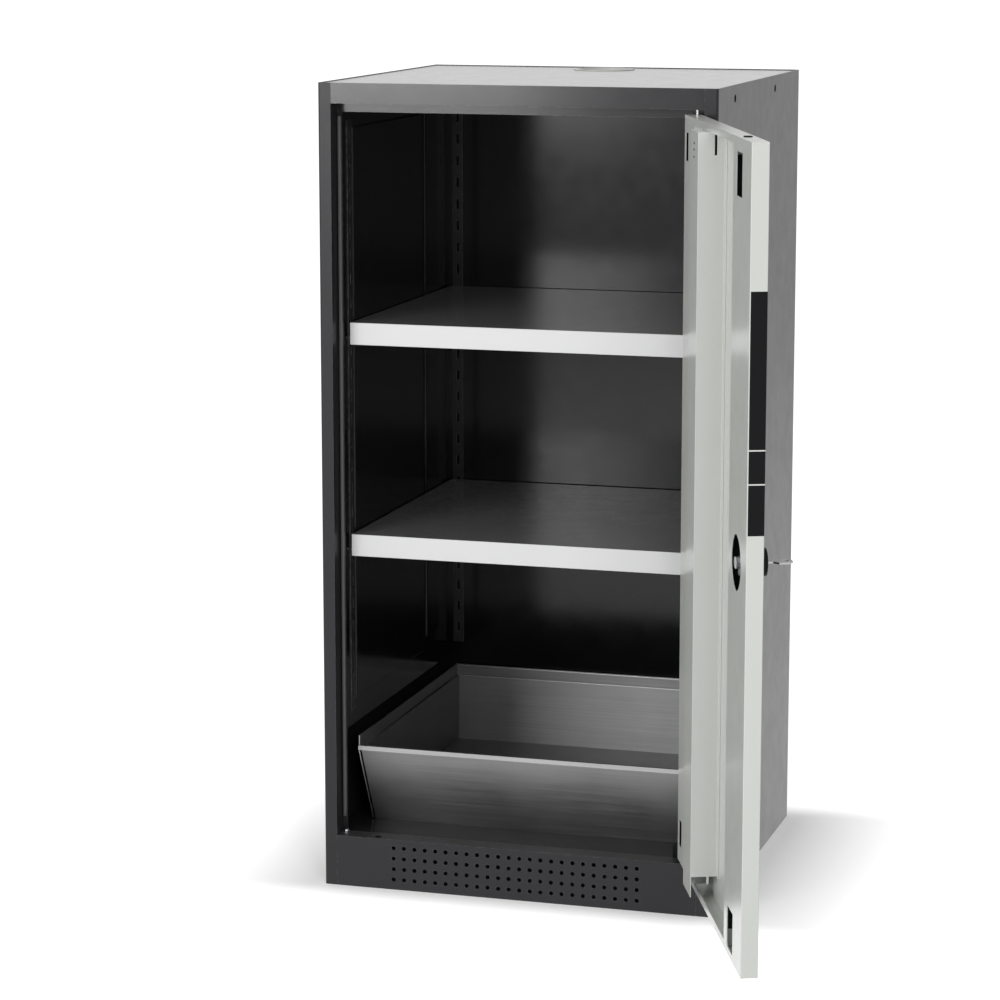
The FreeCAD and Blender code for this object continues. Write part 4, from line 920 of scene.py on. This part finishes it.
# %% [markdown]
# The hat shaped section gets its end plate, which keeps the eye from looking down into it. The lip at the
# hinge side is folded back onto the skin, as the lip at the free side is.

# %% Close the hat's upper end and fold the hinge side lip
HAT_HEAD = 1062
door_bar("hat_end_plate", across=(299.6, 356.4), deep=(2.6, 34.4), levels=(HAT_HEAD - 1.6, HAT_HEAD - 0.4),
         edge=0.4, slot="door_paint")
door_bar("hinge_lip_return", across=(426.4, 427.5), deep=(1.4, 19.9), levels=(78.4, 1069.6),
         edge=0.2, slot="door_paint")

# %% [markdown]
# Black strips lie inside the door's edges, where the hollow of the door is only in shade: painted shade.
# They make the slots and the round window look dark. A strip is a cube stretched to length and bevelled
# all round.

# %% Lay the dark strips of painted shade inside the door
SHADE_STRIP_DEEP = (2.6, 18.4)
for name, across, levels in (("free_lip_painted_shade_strip", (121.6, 123.7), (100, 1048)),
                             ("lower_hinge_painted_shade_strip", (502.0, 504.0), (98, 140)),
                             ("upper_hinge_painted_shade_strip", (502.0, 504.0), (1000, 1050))):
    door_bar(name, across, SHADE_STRIP_DEEP, levels, edge=0.6, slot="black_plastic")

# %% [markdown]
# Three small pins sit one above the other on the hat, near its upper end. They are the rivet's shape on a
# smaller scale.

# %% Set the three pins
HAT_PIN_ACROSS, HAT_FACE = 328, 36
HAT_PIN_LEVELS = (1047, 1039, 1030)
pin_places = [(door_place(HAT_PIN_ACROSS, HAT_FACE, z), (-90, 0, 0)) for z in HAT_PIN_LEVELS]
pin = round_head(radius=1.5, height=0.7, socket=0.6, depth=0.3)
pins = copies_joined(pin, "hat_pins", pin_places)
hang_on_door(pins)
belongs(pins, "door", "black_plastic")

# %% [markdown]
# The rods leave the door through a hole in its head and in its foot, each lined with a black plastic bush.
# A bush is a cylinder whose two ends are inset and then bridged, which opens it into a tube.

# %% Line the two rod holes
BUSH_RADIUS, BUSH_WALL = 5.4, 1.0
ROD_DEEP = 10.5


def rod_bush(name, across, levels):
    """A short tube around a rod, in a hole of the door's head or foot."""
    low, high = levels
    bush = start_cylinder(BUSH_RADIUS, high - low, 0)
    pick_faces(bush, lambda centre, normal: abs(normal.z) > 0.9)
    bpy.ops.mesh.inset(thickness=BUSH_WALL * MM, depth=0)
    bpy.ops.mesh.bridge_edge_loops()
    soften(bush, 0.2)
    bush.location = [MM * value for value in door_place(across, ROD_DEEP, (low + high) / 2)]
    hang_on_door(bush)
    bush.name = name
    belongs(bush, "door", "black_plastic")


rod_bush("upper_rod_bush", 87.0, (1066.0, 1072.2))
rod_bush("lower_rod_bush", 55.0, (76.2, 82.0))

# %% [markdown]
# ## A buffer strip for the closing door
#
# On the free side the door stop carries a soft strip, which the door meets when it shuts. Its rounded
# front catches more light than the dark corner around it. It is a bar with a generous bevel.

# %% Lay the buffer strip
STRIP_FOOT, STRIP_HEAD = (-253.8, -237.6, 92.0), (-248.8, -231.9, 1060.0)
buffer_strip = bar("free_side_buffer_strip", STRIP_FOOT, STRIP_HEAD, edge=1.9)
belongs(buffer_strip, "carcass", "black_plastic", finish=soft_rubber)

# %% [markdown]
# ## Weld seams of the tray
#
# The sump tray has to hold liquid, so its corners are welded tight. A weld is a row of overlapping drops.
# One drop is a sphere, squashed in edit mode. An Array modifier with a constant offset lays the drops
# along the corner, and the same is done at each of the four corners.

# %% Lay the weld seams
def weld_seam(name, start, end, drops=52, radius=1.5):
    """A row of overlapping drops between two places."""
    select_nothing()
    bpy.ops.mesh.primitive_uv_sphere_add(segments=10, ring_count=6, radius=radius * MM)
    seam = bpy.context.object
    edit_with_nothing_selected(seam)
    bpy.ops.mesh.select_all(action="SELECT")
    bpy.ops.transform.resize(value=(0.9, 0.9, 0.7))
    bpy.ops.object.mode_set(mode="OBJECT")
    bpy.ops.object.shade_smooth()
    run = Vector(end) - Vector(start)
    row = seam.modifiers.new("row_of_drops", "ARRAY")
    row.count = drops
    row.use_relative_offset = False
    row.use_constant_offset = True
    row.constant_offset_displace = run * MM / (drops - 1)
    apply_modifiers(seam)
    seam.location = Vector(start) * MM
    settle(seam)
    seam.name = name
    belongs(seam, "sump_tray_body", "tray_steel")


SEAM_TOP, SEAM_FOOT = 186.0, 91.5
for side, hand in ((-1, "left"), (1, "right")):
    upper, lower = side * 232.0, side * 230.3
    weld_seam(f"front_{hand}_seam", (upper, -215.5, SEAM_TOP), (lower, -169.5, SEAM_FOOT))
    weld_seam(f"rear_{hand}_seam", (upper, 235.0, SEAM_TOP), (lower, 229.2, SEAM_FOOT))

# %% [markdown]
# The free edges of the tray's sheet are folded over, and each fold shows as a thin bright line. It is a
# slim rod along each edge: a cylinder laid along the line, with its ends inset and rounded. Its steel is a
# brighter copy of the tray's, a painted highlight along the folds.

# %% Roll the free edges
def rolled_edge(name, start, end, radius):
    """A slim rod with round ends between two places, in the brighter steel of the painted highlight."""
    run = (Vector(end) - Vector(start)) * MM
    edge = start_cylinder(radius, run.length / MM, 0, sides=12)
    pick_faces(edge, lambda centre, normal: abs(normal.z) > 0.9)
    bpy.ops.mesh.inset(thickness=0.4 * radius * MM, depth=0.3 * radius * MM)
    bpy.ops.object.mode_set(mode="OBJECT")
    bpy.ops.object.shade_smooth_by_angle(angle=radians(50))
    edge.rotation_euler = run.to_track_quat("Z", "Y").to_euler()
    edge.location = (Vector(start) + Vector(end)) * MM / 2
    settle(edge)
    edge.name = name
    belongs(edge, "sump_tray_body", "tray_steel", finish=painted_highlight_edge_steel)


rolled_edge("rear_upstand_hem", (-233.5, 237.6, 202.6), (233.5, 237.6, 202.6), radius=1.1)
rolled_edge("rear_upstand_fold", (-232.5, 236.2, 187.2), (232.5, 236.2, 187.2), radius=0.9)
for side, hand in ((-1, "left"), (1, "right")):
    upper, lower = side * 236.0, side * 234.2
    rolled_edge(f"front_{hand}_edge", (upper, -219.0, 185.0), (lower, -164.5, 73.0), radius=0.9)

# %% Done
print("scene built")
